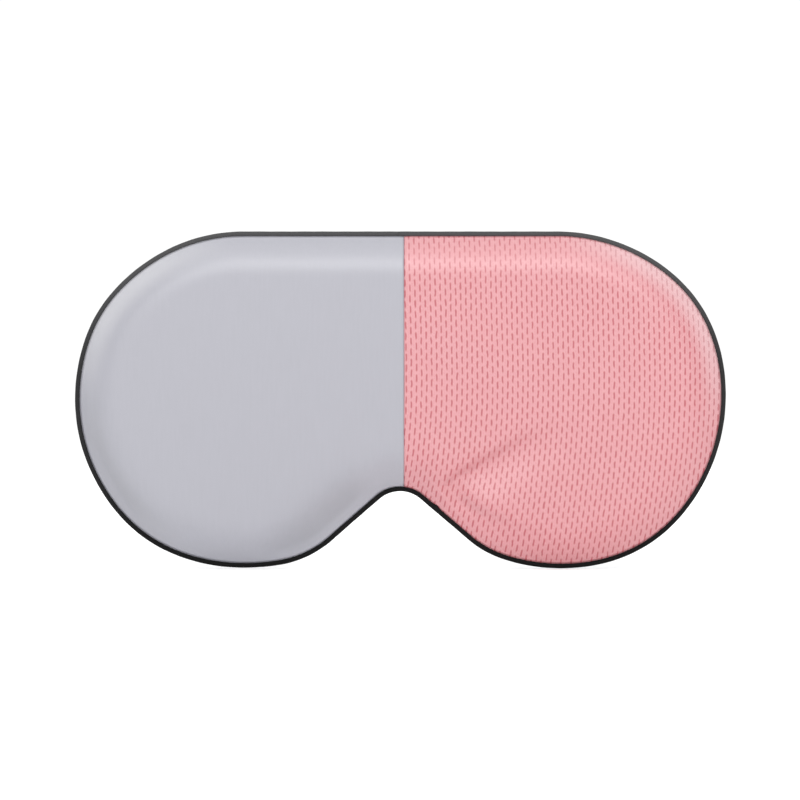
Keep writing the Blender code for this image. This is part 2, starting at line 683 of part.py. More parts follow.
# ---- assembly -------------------------------------------------------------------
fold_axis = empty("axis_bridge_fold", at(SEAM_X, -FRONT_T, 0))
tilt_axes = {side: empty(f"axis_strap_tilt_{tag}", at(side * STRAP_X, PIVOT_Y, 0))
             for side, tag in SIDES.items()}
half_parents = {RIGHT: None, LEFT: fold_axis}
front_fabrics = {RIGHT: MESH, LEFT: SATIN}

for side, tag in SIDES.items():
    parent = half_parents[side]
    panel(f"front_panel_{tag}", side, FRONT, front_fabrics[side], parent)
    panel(f"rear_panel_{tag}", side, REAR, LINING, parent)
    for build in (piping, padding, heating, motor, wiring, strap_tab):
        build(side, tag, parent)

# slack jumper that carries power across the fold
tube("bridge_jumper", [at(x, y, JUMPER_Z) for x, y in JUMPER], WIRE_R, WIRE)
head_strap(tilt_axes)
control_pod(tilt_axes[RIGHT])
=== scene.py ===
"""Looks for the soft eye massager mask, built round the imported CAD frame.

The mask stands upright over the floor. X runs across the two halves, +X to the half called
right. Y runs from the front face (-Y) to the skin side (+Y), where the straps go. Z is up.
Most shapes are worked out in "mask millimetres": from the middle of the seam plane.
"""

import math
from contextlib import contextmanager
from functools import lru_cache

import bmesh
import bpy
import numpy as np
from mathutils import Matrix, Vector


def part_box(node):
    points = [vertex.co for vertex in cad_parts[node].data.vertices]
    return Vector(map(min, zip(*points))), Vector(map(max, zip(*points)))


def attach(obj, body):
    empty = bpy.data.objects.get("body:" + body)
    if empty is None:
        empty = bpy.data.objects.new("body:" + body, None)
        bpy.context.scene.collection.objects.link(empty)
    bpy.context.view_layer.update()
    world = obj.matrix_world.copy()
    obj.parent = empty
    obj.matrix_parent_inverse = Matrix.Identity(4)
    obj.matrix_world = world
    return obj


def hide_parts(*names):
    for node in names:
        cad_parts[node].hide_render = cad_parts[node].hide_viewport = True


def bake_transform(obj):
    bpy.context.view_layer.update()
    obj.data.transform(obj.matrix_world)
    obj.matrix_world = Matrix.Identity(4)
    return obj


MM = 0.001
TURN = 2 * math.pi
SIDES = {1: "right", -1: "left"}             # sign of X for each half

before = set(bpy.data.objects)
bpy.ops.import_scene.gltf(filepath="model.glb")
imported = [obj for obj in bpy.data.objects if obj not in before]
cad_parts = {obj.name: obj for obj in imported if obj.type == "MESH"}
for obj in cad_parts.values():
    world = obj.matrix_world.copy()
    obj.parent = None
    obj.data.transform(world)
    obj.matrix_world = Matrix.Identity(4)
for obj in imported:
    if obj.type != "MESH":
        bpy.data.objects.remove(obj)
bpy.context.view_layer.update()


def box_mm(name):
    """Low and high corners of a CAD piece, in millimetres of the frame."""
    return [np.array(tuple(corner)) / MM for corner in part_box(name)]


# ---------------------------------------------------------------- main sizes, mm
PIPE_LO, PIPE_HI = box_mm("piping_right")
Y_SEAM = (PIPE_LO[1] + PIPE_HI[1]) / 2       # seam plane in the frame
Z_MID = 54.475                               # its middle above the floor
FRONT_T = Y_SEAM - box_mm("front_panel_right")[0][1]
REAR_T = box_mm("rear_panel_right")[1][1] - Y_SEAM
SEAM_X = 1.3                                 # centre seam

LOBE_R = 54.3
LOBE_X = 50.7
CORNER_R = 32.0                              # between a lobe and its flank to the nose
NOSE_TOP = -29.65
# The halves are not sewn quite alike. Each has a flank slope in degrees, a flank distance
# from the lobe centre, and places where the lobe fills out: (mm, at degrees, over degrees).
SHAPE = {
    1: (40.43, 53.03, [(1.29, 33.6, 27.0), (1.10, -59.0, 25.0), (0.11, -108.0, 10.0)]),
    -1: (40.94, 53.15, [(0.52, 30.4, 16.0), (0.66, -54.3, 20.0), (0.59, -108.0, 10.0)]),
}

EDGE_INSET = 1.5                             # panel edge inside the outline
EDGE_Y = 0.30                                # panel edge away from the seam plane
CLOTH_T = 0.55
PIPE_R = 0.8
SHEET_TIP = np.array([46.0, 6.0])            # where a panel's rings run in to a point

EYE_X, EYE_Z = 36.0, -3.0                    # quilted oval over each eye
EYE_HALF_W, EYE_HALF_H = 25.0, 17.5
QUILT_INSET = 4.6                            # quilting line inside the outline

STRAP_T = 1.25
STRAP_HALF_H = 10.0

TAPE_LENGTH = 42.5                           # hook and loop tapes
TAPE_HALF_H = 9.0
TAPE_GAP = 0.04
LOOP_TAPE_T = 0.69
HOOK_TAPE_T = 0.5

EYELET_X, EYELET_Z = 96.85, -12.6            # where the lead enters the lining


def to_frame(points):
    """Mask millimetres to the frame's metres."""
    return np.add(points, (0, Y_SEAM, Z_MID)) * MM


# ---------------------------------------------------------------- small helpers
def smoothstep(value):
    value = np.clip(value, 0.0, 1.0)
    return value * value * (3 - 2 * value)


@contextmanager
def edited(mesh):
    """The mesh as a bmesh, written back at the end."""
    edit = bmesh.new()
    edit.from_mesh(mesh)
    yield edit
    edit.to_mesh(mesh)
    edit.free()


def add_attribute(mesh, name, values):
    """Point attribute: vectors if the values come in rows, else single numbers."""
    values = np.asarray(values, np.float32)
    kind, field = ("FLOAT_VECTOR", "vector") if values.ndim == 2 else ("FLOAT", "value")
    attribute = mesh.attributes.new(name, kind, "POINT")
    attribute.data.foreach_set(field, values.ravel())


def make(name, verts, faces, material, rest=None, extra=None):
    """A smooth mesh object from points in metres. The rest shape is kept as an attribute,
    in millimetres, so that weaves stay put on cloth that bends."""
    mesh = bpy.data.meshes.new(name)
    verts = np.asarray(verts, float)
    mesh.from_pydata(verts.tolist(), [], faces)
    mesh.update()
    mesh.shade_smooth()
    add_attribute(mesh, "rest", verts / MM if rest is None else rest)
    for key, values in (extra or {}).items():
        add_attribute(mesh, key, values)
    mesh.materials.append(material)
    part = bpy.data.objects.new(name, mesh)
    bpy.context.scene.collection.objects.link(part)
    return part


def make_mask_part(name, points, faces, material, extra=None):
    """A mesh object from points in mask millimetres."""
    return make(name, to_frame(points), faces, material, rest=points + (0, 0, Z_MID),
                extra=extra)


def fix_normals(part):
    with edited(part.data) as edit:
        bmesh.ops.recalc_face_normals(edit, faces=edit.faces)
    part.data.update()
    return part


def face_along_y(part, sign):
    """Turns a sheet over if its first face looks away from +Y (1) or -Y (-1)."""
    if part.data.polygons[0].normal.y * sign < 0:
        with edited(part.data) as edit:
            bmesh.ops.reverse_faces(edit, faces=edit.faces)


def cut_away(part, cutters):
    """Cuts the cutters out of a part and removes them."""
    for cutter in cutters:
        modifier = part.modifiers.new(cutter.name, "BOOLEAN")
        modifier.operation = "DIFFERENCE"
        modifier.solver = "EXACT"
        modifier.object = cutter
    bpy.context.view_layer.update()
    evaluated = part.evaluated_get(bpy.context.evaluated_depsgraph_get())
    mesh = bpy.data.meshes.new_from_object(evaluated)
    part.modifiers.clear()
    part.data = mesh
    for cutter in cutters:
        bpy.data.objects.remove(cutter)


def grid_faces(rows, cols, closed_cols=False, closed_rows=False, base=0):
    faces = []
    for i in range(rows if closed_rows else rows - 1):
        for j in range(cols if closed_cols else cols - 1):
            here = base + i * cols
            following = base + ((i + 1) % rows) * cols
            beside = (j + 1) % cols
            faces.append((here + j, here + beside, following + beside, following + j))
    return faces


def capped_faces(rows, cols, base=0, flip_caps=False):
    """Faces of a tube of closed rings, with a cap at each end."""
    first = range(base, base + cols)
    last = range(base + (rows - 1) * cols, base + rows * cols)
    if flip_caps:
        first = reversed(first)
    else:
        last = reversed(last)
    return grid_faces(rows, cols, closed_cols=True, base=base) + [tuple(first), tuple(last)]


def register(part, slot, *cad_names):
    """Hides the CAD pieces that a part stands in for; its material slot is not used."""
    if cad_names:
        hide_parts(*cad_names)


def blend_across_fold(part):
    """Bakes the part's placement into its mesh."""
    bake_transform(part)


def blend_at_root(part):
    """Bakes the part's placement into its mesh."""
    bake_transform(part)


# ---------------------------------------------------------------- shader kit
class Signal:
    """A shader node's output. Arithmetic on it adds math nodes."""

    def __init__(self, shader, socket):
        self.shader = shader
        self.socket = socket

    def math(self, operation, *operands, clamp=False):
        return self.shader.node("ShaderNodeMath", dict(enumerate((self, *operands))),
                                operation=operation, use_clamp=clamp)

    def __add__(self, other):
        return self.math("ADD", other)

    def __sub__(self, other):
        return self.math("SUBTRACT", other)

    def __rsub__(self, other):
        return self.shader.node("ShaderNodeMath", {0: other, 1: self}, operation="SUBTRACT")

    def __mul__(self, other):
        return self.math("MULTIPLY", other)

    def __truediv__(self, other):
        return self.math("DIVIDE", other)

    def __abs__(self):
        return self.math("ABSOLUTE")

    def affine(self, scale, offset):
        return self.math("MULTIPLY_ADD", scale, offset)

    def sin(self):
        return self.math("SINE")

    def floor(self):
        return self.math("FLOOR")

    def ramp(self, low, high):
        """Smooth 0..1 as the signal goes from low to high."""
        return self.shader.node("ShaderNodeMapRange",
                                {"Value": self, "From Min": low, "From Max": high},
                                interpolation_type="SMOOTHSTEP")

    def split(self):
        """X, Y and Z of a vector."""
        first = self.shader.node("ShaderNodeSeparateXYZ", {0: self})
        return [Signal(self.shader, socket) for socket in first.socket.node.outputs]


class Shader:
    """Short hand for building a node material."""

    SURFACE_INPUTS = {
        "color": "Base Color", "rough": "Roughness", "metal": "Metallic", "normal": "Normal",
        "sheen": "Sheen Weight", "sheen_rough": "Sheen Roughness",
        "specular": "Specular IOR Level", "coat": "Coat Weight",
        "coat_rough": "Coat Roughness", "coat_ior": "Coat IOR",
        "glow": "Emission Color", "glow_strength": "Emission Strength"}

    def __init__(self, name):
        self.material = bpy.data.materials.new(name)
        self.material.use_nodes = True
        self.tree = self.material.node_tree

    def feed(self, socket, value):
        if isinstance(value, Signal):
            self.tree.links.new(value.socket, socket)
        elif isinstance(value, tuple):
            socket.default_value = (*value, 1.0)
        else:
            socket.default_value = value

    def node(self, kind, inputs=None, output=0, **settings):
        """Adds a node, feeds its inputs and gives one of its outputs."""
        node = self.tree.nodes.new(kind)
        for key, value in settings.items():
            setattr(node, key, value)
        for key, value in (inputs or {}).items():
            self.feed(node.inputs[key], value)
        return Signal(self, node.outputs[output])

    def attribute(self, name, output="Fac"):
        return self.node("ShaderNodeAttribute", output=output, attribute_name=name)

    def rest(self):
        """Place on the unbent cloth, mm."""
        return self.attribute("rest", output="Vector")

    def object_place(self):
        return self.node("ShaderNodeTexCoord", output="Object")

    def object_mm(self):
        return self.node("ShaderNodeVectorMath", {0: self.object_place(), "Scale": 1 / MM},
                         operation="SCALE")

    def combine(self, x, y, z):
        return self.node("ShaderNodeCombineXYZ", {0: x, 1: y, 2: z})

    def noise(self, place, scale, detail=2.0, roughness=0.5):
        return self.node("ShaderNodeTexNoise", {"Vector": place, "Scale": scale,
                                                "Detail": detail, "Roughness": roughness},
                         output="Fac")

    def mix(self, share, first, second):
        return self.node("ShaderNodeMix", {"Factor": share, 6: first, 7: second}, output=2,
                         data_type="RGBA")

    def bump(self, height, distance, strength, normal=None):
        inputs = {"Strength": strength, "Distance": distance, "Height": height}
        if normal is not None:
            inputs["Normal"] = normal
        return self.node("ShaderNodeBump", inputs)

    def surface(self, **values):
        """Feeds the surface shader and gives the material."""
        surface = self.tree.nodes["Principled BSDF"]
        for key, value in values.items():
            self.feed(surface.inputs[self.SURFACE_INPUTS[key]], value)
        return self.material


WHITE_CARD = 1.52     # how bright a white card facing the camera comes out


def lit(*srgb):
    """Base colour that looks like the given 0-255 sRGB colour under the studio lights."""
    return tuple(((c / 255 + 0.055) / 1.055) ** 2.4 / WHITE_CARD for c in srgb)


def tone(color, factor):
    """A colour times one factor, or one factor a channel."""
    return tuple(np.multiply(color, factor))


BLACK = (0.0, 0.0, 0.0)
WHITE = (1.0, 1.0, 1.0)
# soft gloss over both front cloths
CLOTH_COAT = dict(coat=1.0, coat_rough=0.44, coat_ior=1.95)


# ---------------------------------------------------------------- cloth materials
def satin_material():
    """Grey satin: very fine warp-faced weave with long floats and a soft sheen."""
    shader = Shader("grey_satin_cloth")
    base = lit(192, 192, 203)
    thread = 0.30                            # warp pitch, mm
    float_length = thread * 5.0
    dip_step = 0.4                           # of a float, from one warp thread to the next
    rest = shader.rest()
    x, y, z = rest.split()
    # each warp thread floats over several wefts, then dips under one; the dips step along
    warp = (x * (TURN / thread)).sin()
    step = (x / thread).floor() * dip_step
    dip = ((z / float_length + step) * TURN).sin().ramp(low=0.75, high=1.0)
    height = warp * 0.5 - dip * 0.8
    # slubs stretch along the warp
    slub = shader.noise(shader.combine(x * 1.3, y, z * 0.10), scale=1.0, detail=3)
    patches = shader.noise(rest, scale=0.03, detail=2)
    pale = tone(base, 1.012)
    color = shader.mix(slub.ramp(low=0.3, high=0.7), tone(base, 0.985), pale)
    color = shader.mix(dip * 0.12, color, tone(base, 0.85))
    color = shader.mix(patches.ramp(low=0.3, high=0.7) * 0.25, color, pale)
    # painted shade: the satin mixed towards black low on the lobe and along the nose flank
    color = shader.mix(shader.attribute("painted_shade"), color, BLACK)
    # painted highlight: the satin mixed towards white on the upper border of each lobe
    color = shader.mix(shader.attribute("glow"), color, WHITE)
    return shader.surface(
        color=color, rough=slub.affine(scale=0.05, offset=0.50),
        normal=shader.bump(height, distance=0.000012, strength=0.4),
        sheen=0.08, sheen_rough=0.5, specular=0.2, **CLOTH_COAT)


SLOT_PITCH_X, SLOT_PITCH_Z = 1.628, 3.41     # slots of the pink mesh, mm


def knit_coords(x, z):
    """Place on the slot lattice, in pitches: columns hang straight at the top of the panel
    and swing towards the nose lower down, as the cloth was pulled round the padding."""
    down = np.linspace(-60, 60, 241)
    lean = -0.022 + 0.152 * smoothstep((down + 20) / 55)
    shift = np.cumsum(lean) * (down[1] - down[0])
    shift -= np.interp(-5.0, down, shift)
    below = -z - 15
    near_nose = 0.05 * np.clip((42 - x) / 30, 0, 1) * np.clip(below / 15, 0, 1) * below
    column = (x + np.interp(-z, down, shift) + near_nose) / SLOT_PITCH_X
    row = (z - 0.045 * x) / SLOT_PITCH_Z
    return column, row


def mesh_material():
    """Pink pique mesh: upright slots in staggered columns, small V stitches between."""
    shader = Shader("pink_mesh_cloth")
    base = lit(256, 172, 178)
    hole = lit(218, 86, 100)
    stitch_pitch = 0.86                      # mm
    rest = shader.rest()
    weave_x, weave_z, _ = shader.attribute("weave", output="Vector").split()
    ridge = shader.attribute("ridge")
    wobble = shader.noise(rest, scale=0.55, detail=1)
    fine = shader.noise(rest, scale=2.1, detail=3, roughness=0.6)

    # slot cells, each odd column half a pitch higher, all a little uneven
    column_at = weave_x + fine.affine(scale=0.16, offset=wobble * 0.30)
    column = column_at.floor()
    in_column = column_at - column - 0.5
    stagger = abs(column).math("MODULO", 2.0) * 0.5
    row_at = weave_z + stagger + wobble * 0.14
    row = row_at.floor()
    in_row = row_at - row - 0.5
    # one random value a cell
    jitter = shader.noise(shader.combine(column * 7.31, row * 5.17, 0.0), scale=1.0, detail=0)
    across = abs(in_column * SLOT_PITCH_X)
    along = abs(in_row * SLOT_PITCH_Z)
    slot_across = 1.0 - across.ramp(low=0.14, high=0.35)
    slot_along = 1.0 - along.ramp(low=0.85, high=1.30)
    slot = slot_across * slot_along
    slot = slot.math("MULTIPLY", jitter.affine(scale=1.0, offset=0.72), clamp=True)
    # painted highlight: the slots washed paler along the top ridge, where the highlight falls
    slot = slot * (1.0 - ridge * 0.50)       # paler slots along the top ridge

    # V stitches: slanting strands that meet on each side of a slot column
    slant = row_at * SLOT_PITCH_Z + abs(in_column) * 2.3
    slant = slant + fine * 0.55
    stitch = (slant * (TURN / stitch_pitch)).sin()
    strand = ((column_at + fine * 0.5) * (2 * TURN)).math("COSINE")
    knit = stitch * 0.80 + strand * 0.35
    fuzz = shader.noise(rest, scale=3.4, detail=3, roughness=0.7)
    knit = knit + fuzz.affine(scale=2.4, offset=-1.2)
    height = knit - slot * 2.2

    darker = tone(base, (0.935, 0.80, 0.815))
    color = shader.mix(knit.ramp(low=-1.25, high=1.25), darker,
                       tone(base, (1.05, 1.20, 1.19)))
    mottle = shader.noise(rest, scale=0.24, detail=3)
    color = shader.mix(mottle.ramp(low=0.35, high=0.7) * 0.14, color, darker)
    color = shader.mix(slot * 0.95, color, hole)
    # painted highlight: the mesh mixed towards white on the upper border of each lobe
    color = shader.mix(shader.attribute("glow"), color, WHITE)
    return shader.surface(
        color=color, rough=0.80, normal=shader.bump(height, distance=0.00007, strength=0.35),
        sheen=0.10, sheen_rough=0.5, specular=0.15, **CLOTH_COAT)


def cord_material():
    """Dark bias cord with painted light and shade: paler along the top edge, darker below."""
    shader = Shader("piping_cord")
    along = shader.attribute("along")
    around = shader.attribute("around")
    rim = shader.attribute("rim")            # -1 where the edge looks down, 1 where up
    rest = shader.rest()
    # a coarse twist one way and a fine one the other, pitches in mm
    twist = ((along + around * 1.1) * (TURN / 0.55)).sin()
    counter_twist = ((along - around * 0.6) * (TURN / 0.28)).sin()
    height = twist.affine(scale=0.6, offset=counter_twist * 0.25)
    fine = shader.noise(rest, scale=2.2, detail=3)
    # painted light and shade: near black where the edge looks down, paler where it looks up
    low, middle, high = (0.0015, 0.0014, 0.0014), (0.026, 0.026, 0.027), (0.080, 0.080, 0.082)
    color = shader.mix(rim.ramp(low=-1.0, high=0.10), low, middle)
    color = shader.mix(rim.ramp(low=0.0, high=0.95), color, high)
    pale = shader.mix(0.5, color, (0.10, 0.10, 0.105))
    color = shader.mix(twist.ramp(low=-0.2, high=1.0) * 0.20, color, pale)
    color = shader.mix(fine * 0.12, color, (0.02, 0.02, 0.02))
    return shader.surface(
        color=color, rough=0.72, normal=shader.bump(height, distance=0.00006, strength=0.7),
        sheen=0.03, sheen_rough=0.4, specular=0.10)


def lining_material():
    """Pale grey lining: fine diagonal weave under a soft nap."""
    shader = Shader("lining_fabric")
    base = (0.50, 0.50, 0.545)
    rest = shader.rest()
    x, _, z = rest.split()
    diagonal = TURN / 0.62 * 0.7071          # weave of 0.62 mm pitch at 45 degrees
    rising = ((x + z) * diagonal).sin()
    falling = ((x - z) * diagonal).sin()
    weave = rising * falling
    nap = shader.noise(rest, scale=0.9, detail=4, roughness=0.65)
    patches = shader.noise(rest, scale=0.06, detail=2)
    color = shader.mix(weave.ramp(low=-1.0, high=1.0), tone(base, 0.90), tone(base, 1.05))
    color = shader.mix(nap * 0.35, color, tone(base, 1.10))
    color = shader.mix(patches * 0.2, color, tone(base, 0.88))
    normal = shader.bump(weave, distance=0.00005, strength=0.5)
    normal = shader.bump(nap, distance=0.00012, strength=0.35, normal=normal)
    return shader.surface(color=color, rough=0.82, normal=normal, sheen=0.45,
                          sheen_rough=0.4, specular=0.2)


def elastic_material():
    """Black ribbed elastic. The ribs run along the strap."""
    shader = Shader("elastic_webbing")
    rib_pitch, pick_pitch = 1.25, 0.7        # mm
    half_pick = 1.57                         # picks swap phase from rib to rib, radians
    along = shader.attribute("along")
    across = shader.attribute("across")
    rest = shader.rest()
    rib = (across * (TURN / rib_pitch)).sin()
    pick = (along * (TURN / pick_pitch) + rib.math("SIGN") * half_pick).sin()
    height = rib.affine(scale=0.7, offset=pick * 0.35)
    fine = shader.noise(rest, scale=1.6, detail=3)
    edge = abs(across).ramp(low=8.9, high=9.6)
    color = shader.mix(height.ramp(low=-1.0, high=1.0), (0.012, 0.012, 0.013),
                       (0.045, 0.045, 0.048))
    color = shader.mix(fine * 0.3, color, (0.085, 0.085, 0.09))
    color = shader.mix(edge * 0.6, color, (0.03, 0.03, 0.032))
    return shader.surface(
        color=color, rough=0.8, normal=shader.bump(height, distance=0.00012, strength=0.7),
        sheen=0.25, sheen_rough=0.4, specular=0.2)


def fuzz_material(name, base, scale, distance):
    """Hairy tape or thread; scale is the grain, distance the bump in metres."""
    shader = Shader(name)
    rest = shader.rest()
    hairs = shader.noise(rest, scale=scale, detail=5, roughness=0.7)
    patches = shader.noise(rest, scale=scale * 0.25, detail=2)
    color = shader.mix(hairs.ramp(low=0.35, high=0.7), tone(base, 0.55), tone(base, 1.7))
    return shader.surface(
        color=color, rough=patches.affine(scale=0.1, offset=0.85),
        normal=shader.bump(hairs, distance=distance, strength=0.9),
        sheen=0.5, sheen_rough=0.6, specular=0.15)


def foam_material():
    """Cream open-cell foam."""
    shader = Shader("foam_padding")
    rest = shader.rest()
    cell = shader.node("ShaderNodeTexVoronoi", {"Vector": rest, "Scale": 1.4},
                       output="Distance")
    patches = shader.noise(rest, scale=0.5, detail=2)
    color = shader.mix(cell.ramp(low=0.05, high=0.5), (0.45, 0.42, 0.34), (0.80, 0.77, 0.68))
    color = shader.mix(patches * 0.2, color, (0.85, 0.82, 0.72))
    return shader.surface(color=color, rough=0.95, specular=0.1,
                          normal=shader.bump(cell, distance=0.0002, strength=0.8))


# ---------------------------------------------------------------- hard materials
def wire_material():
    shader = Shader("cable_sheath")
    grain = shader.noise(shader.rest(), scale=0.8, detail=3)
    color = shader.mix(grain, (0.020, 0.020, 0.022), (0.045, 0.045, 0.048))
    return shader.surface(color=color, rough=grain.affine(scale=0.15, offset=0.42),
                          normal=shader.bump(grain, distance=0.00003, strength=0.4),
                          specular=0.4)


def plastic_material(name, base, rough, grain_scale=2.6):
    """Moulded plastic with a fine grain and paler worn edges."""
    shader = Shader(name)
    place = shader.object_mm()
    grain = shader.noise(place, scale=grain_scale, detail=4, roughness=0.6)
    patches = shader.noise(place, scale=0.12, detail=3)
    worn = shader.node("ShaderNodeNewGeometry", output="Pointiness").ramp(low=0.52, high=0.60)
    color = shader.mix(patches * 0.25, base, tone(base, 1.25))
    color = shader.mix(worn * 0.35, color, tuple(c * 1.8 + 0.02 for c in base))
    return shader.surface(color=color, rough=patches.affine(scale=0.14, offset=rough - 0.07),
                          normal=shader.bump(grain, distance=0.00003, strength=0.6),
                          specular=0.45)


def metal_material(name, base, rough=0.3, brush=6.0):
    """Metal with streaks; brush is how fine they are along Y."""
    shader = Shader(name)
    x, y, z = shader.object_mm().split()
    streaks = shader.noise(shader.combine(x * 0.3, y * brush, z), scale=1.0, detail=4,
                           roughness=0.6)
    return shader.surface(color=shader.mix(streaks, tone(base, 0.85), base), metal=1.0,
                          rough=streaks.affine(scale=0.2, offset=rough - 0.1),
                          normal=shader.bump(streaks, distance=0.00001, strength=0.4))


def film_material():
    """Amber heating film with metal traces stacked in Z."""
    shader = Shader("amber_film")
    trace_pitch = 0.0042                     # m
    _, _, z = shader.object_place().split()
    trace = (z * (TURN / trace_pitch)).sin().ramp(low=0.55, high=0.8)
    return shader.surface(color=shader.mix(trace, (0.45, 0.17, 0.02), (0.75, 0.35, 0.12)),
                          rough=trace.affine(scale=-0.1, offset=0.32), metal=trace,
                          specular=0.5,
                          normal=shader.bump(trace, distance=0.00004, strength=0.5))


def board_material():
    """Green circuit board with traces both ways."""
    shader = Shader("circuit_board_mask")
    _, y, z = shader.object_mm().split()
    # trace spacing as radians per mm
    level = (z * 2.6).sin().ramp(low=0.80, high=0.90)
    upright = (y * 1.9).sin().ramp(low=0.86, high=0.94)
    trace = level.math("MAXIMUM", upright)
    return shader.surface(color=shader.mix(trace, (0.010, 0.10, 0.045), (0.03, 0.22, 0.09)),
                          rough=0.32, coat=0.3,
                          normal=shader.bump(trace, distance=0.00003, strength=0.6))


def battery_material():
    """Crinkled silver foil."""
    shader = Shader("battery_foil")
    crinkle = shader.noise(shader.object_mm(), scale=0.5, detail=4)
    return shader.surface(color=shader.mix(crinkle, (0.50, 0.51, 0.53), (0.66, 0.67, 0.69)),
                          rough=crinkle.affine(scale=0.3, offset=0.25), metal=0.8,
                          normal=shader.bump(crinkle, distance=0.0002, strength=0.5))


def lens_material():
    """Milky status lens."""
    shader = Shader("status_lens_diffuser")
    grain = shader.noise(shader.object_place(), scale=3000.0, detail=2)
    return shader.surface(color=shader.mix(grain, (0.75, 0.80, 0.85), (0.92, 0.94, 0.96)),
                          rough=0.25, specular=0.6, coat=0.4,
                          normal=shader.bump(grain, distance=0.00002, strength=0.3))


def floor_material():
    """White floor, a little brighter to the camera than to the mask."""
    shader = Shader("studio_floor")
    patches = shader.noise(shader.object_place(), scale=3.0, detail=2)
    seen = shader.node("ShaderNodeLightPath", output="Is Camera Ray")
    return shader.surface(color=shader.mix(patches, (0.90, 0.90, 0.90), (0.92, 0.92, 0.92)),
                          rough=0.9, specular=0.1, glow=WHITE,
                          glow_strength=seen.affine(scale=0.22, offset=0.13))


SATIN = satin_material()
MESH = mesh_material()
CORD = cord_material()
LINING = lining_material()
ELASTIC = elastic_material()
FOAM = foam_material()
WIRE = wire_material()
HOOK = fuzz_material("hook_tape", (0.022, 0.022, 0.024), scale=2.4, distance=0.0004)
LOOP = fuzz_material("loop_tape", (0.035, 0.035, 0.038), scale=1.5, distance=0.0005)
THREAD = fuzz_material("stitch_thread", (0.30, 0.30, 0.33), scale=3.0, distance=0.00006)
THREAD_DARK = fuzz_material("stitch_thread_dark", (0.06, 0.06, 0.065), scale=3.0,
                            distance=0.00006)
POD_PLASTIC = plastic_material("pod_plastic_inner", (0.045, 0.046, 0.050), rough=0.52)
KEY_PLASTIC = plastic_material("button_plastic", (0.40, 0.40, 0.43), rough=0.42,
                               grain_scale=3.2)
STEEL = metal_material("plain_steel", (0.60, 0.60, 0.61))
WEIGHT = metal_material("sintered_weight", (0.32, 0.32, 0.33), rough=0.5, brush=1.0)
RUBBER = plastic_material("moulded_rubber", (0.03, 0.03, 0.03), rough=0.75)


# ---------------------------------------------------------------- lines
def path_length(line):
    return np.linalg.norm(np.diff(line, axis=0), axis=1).sum()


def arc_positions(line):
    """Distance along the line at each of its points."""
    return np.r_[0, np.cumsum(np.linalg.norm(np.diff(line, axis=0), axis=1))]


def resample(points, count):
    """Points at equal spacing along an open line."""
    points = np.asarray(points, float)
    travelled = arc_positions(points)
    wanted = np.linspace(0, travelled[-1], count)
    return np.stack([np.interp(wanted, travelled, values) for values in points.T], 1)


def tangents(line):
    along = np.gradient(line, axis=0)
    return along / np.linalg.norm(along, axis=1)[:, None]


def catmull(points, per=10):
    """Smooth curve through points of any size."""
    points = np.asarray(points, float)
    points = np.concatenate([2 * points[:1] - points[1:2], points,
                             2 * points[-1:] - points[-2:-1]])
    t = (np.arange(per) / per)[:, None]
    pieces = []
    for i in range(1, len(points) - 2):
        before, start, stop, after = points[i - 1:i + 3]
        pieces.append(0.5 * (2 * start + (stop - before) * t
                             + (2 * before - 5 * start + 4 * stop - after) * t ** 2
                             + (3 * start - before - 3 * stop + after) * t ** 3))
    return np.concatenate(pieces + [points[-2:-1]])


def between(start, stop, steps):
    """Points on a straight line, without its two ends."""
    return [(start[0] + (stop[0] - start[0]) * i / steps,
             start[1] + (stop[1] - start[1]) * i / steps) for i in range(1, steps)]


def arc(centre, radius, start, stop, steps):
    """Points on an arc, both ends included."""
    angles = [start + (stop - start) * i / steps for i in range(steps + 1)]
    return [(centre[0] + radius * math.cos(a), centre[1] + radius * math.sin(a))
            for a in angles]


# ---------------------------------------------------------------- the outline
def half_line(side, inset, end, count):
    """Outline of one half as (x, z), seam top to seam bottom, x growing away from the
    seam: flat top, lobe, corner, straight flank and the arc over the nose."""
    slope_degrees, flank, fullness = SHAPE[side]
    slope = math.radians(slope_degrees)
    sine, cosine = math.sin(slope), math.cos(slope)
    corner_out = flank - CORNER_R
    corner_along = math.sqrt((LOBE_R - CORNER_R) ** 2 - corner_out ** 2)
    corner = (LOBE_X - sine * corner_out + cosine * corner_along,
              -cosine * corner_out - sine * corner_along)
    corner_angle = math.atan2(corner[1], corner[0] - LOBE_X)
    flank_angle = math.atan2(-cosine, -sine)
    # the nose arc touches the flank and peaks at NOSE_TOP
    nose_r = (NOSE_TOP * cosine + flank - LOBE_X * sine) / (cosine - 1)
    nose_edge_r = nose_r + inset
    lobe_r = LOBE_R - inset

    points = [(end, lobe_r)] + between((end, lobe_r), (LOBE_X, lobe_r), 40)
    points += arc((LOBE_X, 0.0), lobe_r, math.pi / 2, corner_angle, 240)
    points += arc(corner, CORNER_R - inset, corner_angle, flank_angle, 24)[1:]
    nose = arc((0.0, NOSE_TOP - nose_r), nose_edge_r, math.pi / 2 - slope,
               math.acos(end / nose_edge_r), 24)
    points += between(points[-1], nose[0], 40) + nose

    points = np.array(points)
    spoke = points - (LOBE_X, 0.0)
    angle = np.degrees(np.arctan2(spoke[:, 1], spoke[:, 0]))
    outwards = spoke / np.linalg.norm(spoke, axis=1)[:, None]
    push = sum(amount * np.exp(-((angle - at) / over) ** 2) for amount, at, over in fullness)
    points = points + outwards * np.where(angle > 90, 0, push)[:, None]
    return resample(points, count)


def full_outline(inset):
    """The whole outline as one closed loop, without a repeated point."""
    right = half_line(1, inset, 0.0, 420)
    left = half_line(-1, inset, 0.0, 420)[::-1] * (-1, 1)
    return np.concatenate([right[:-1], left[:-1]])


OUTLINE = full_outline(0.0)


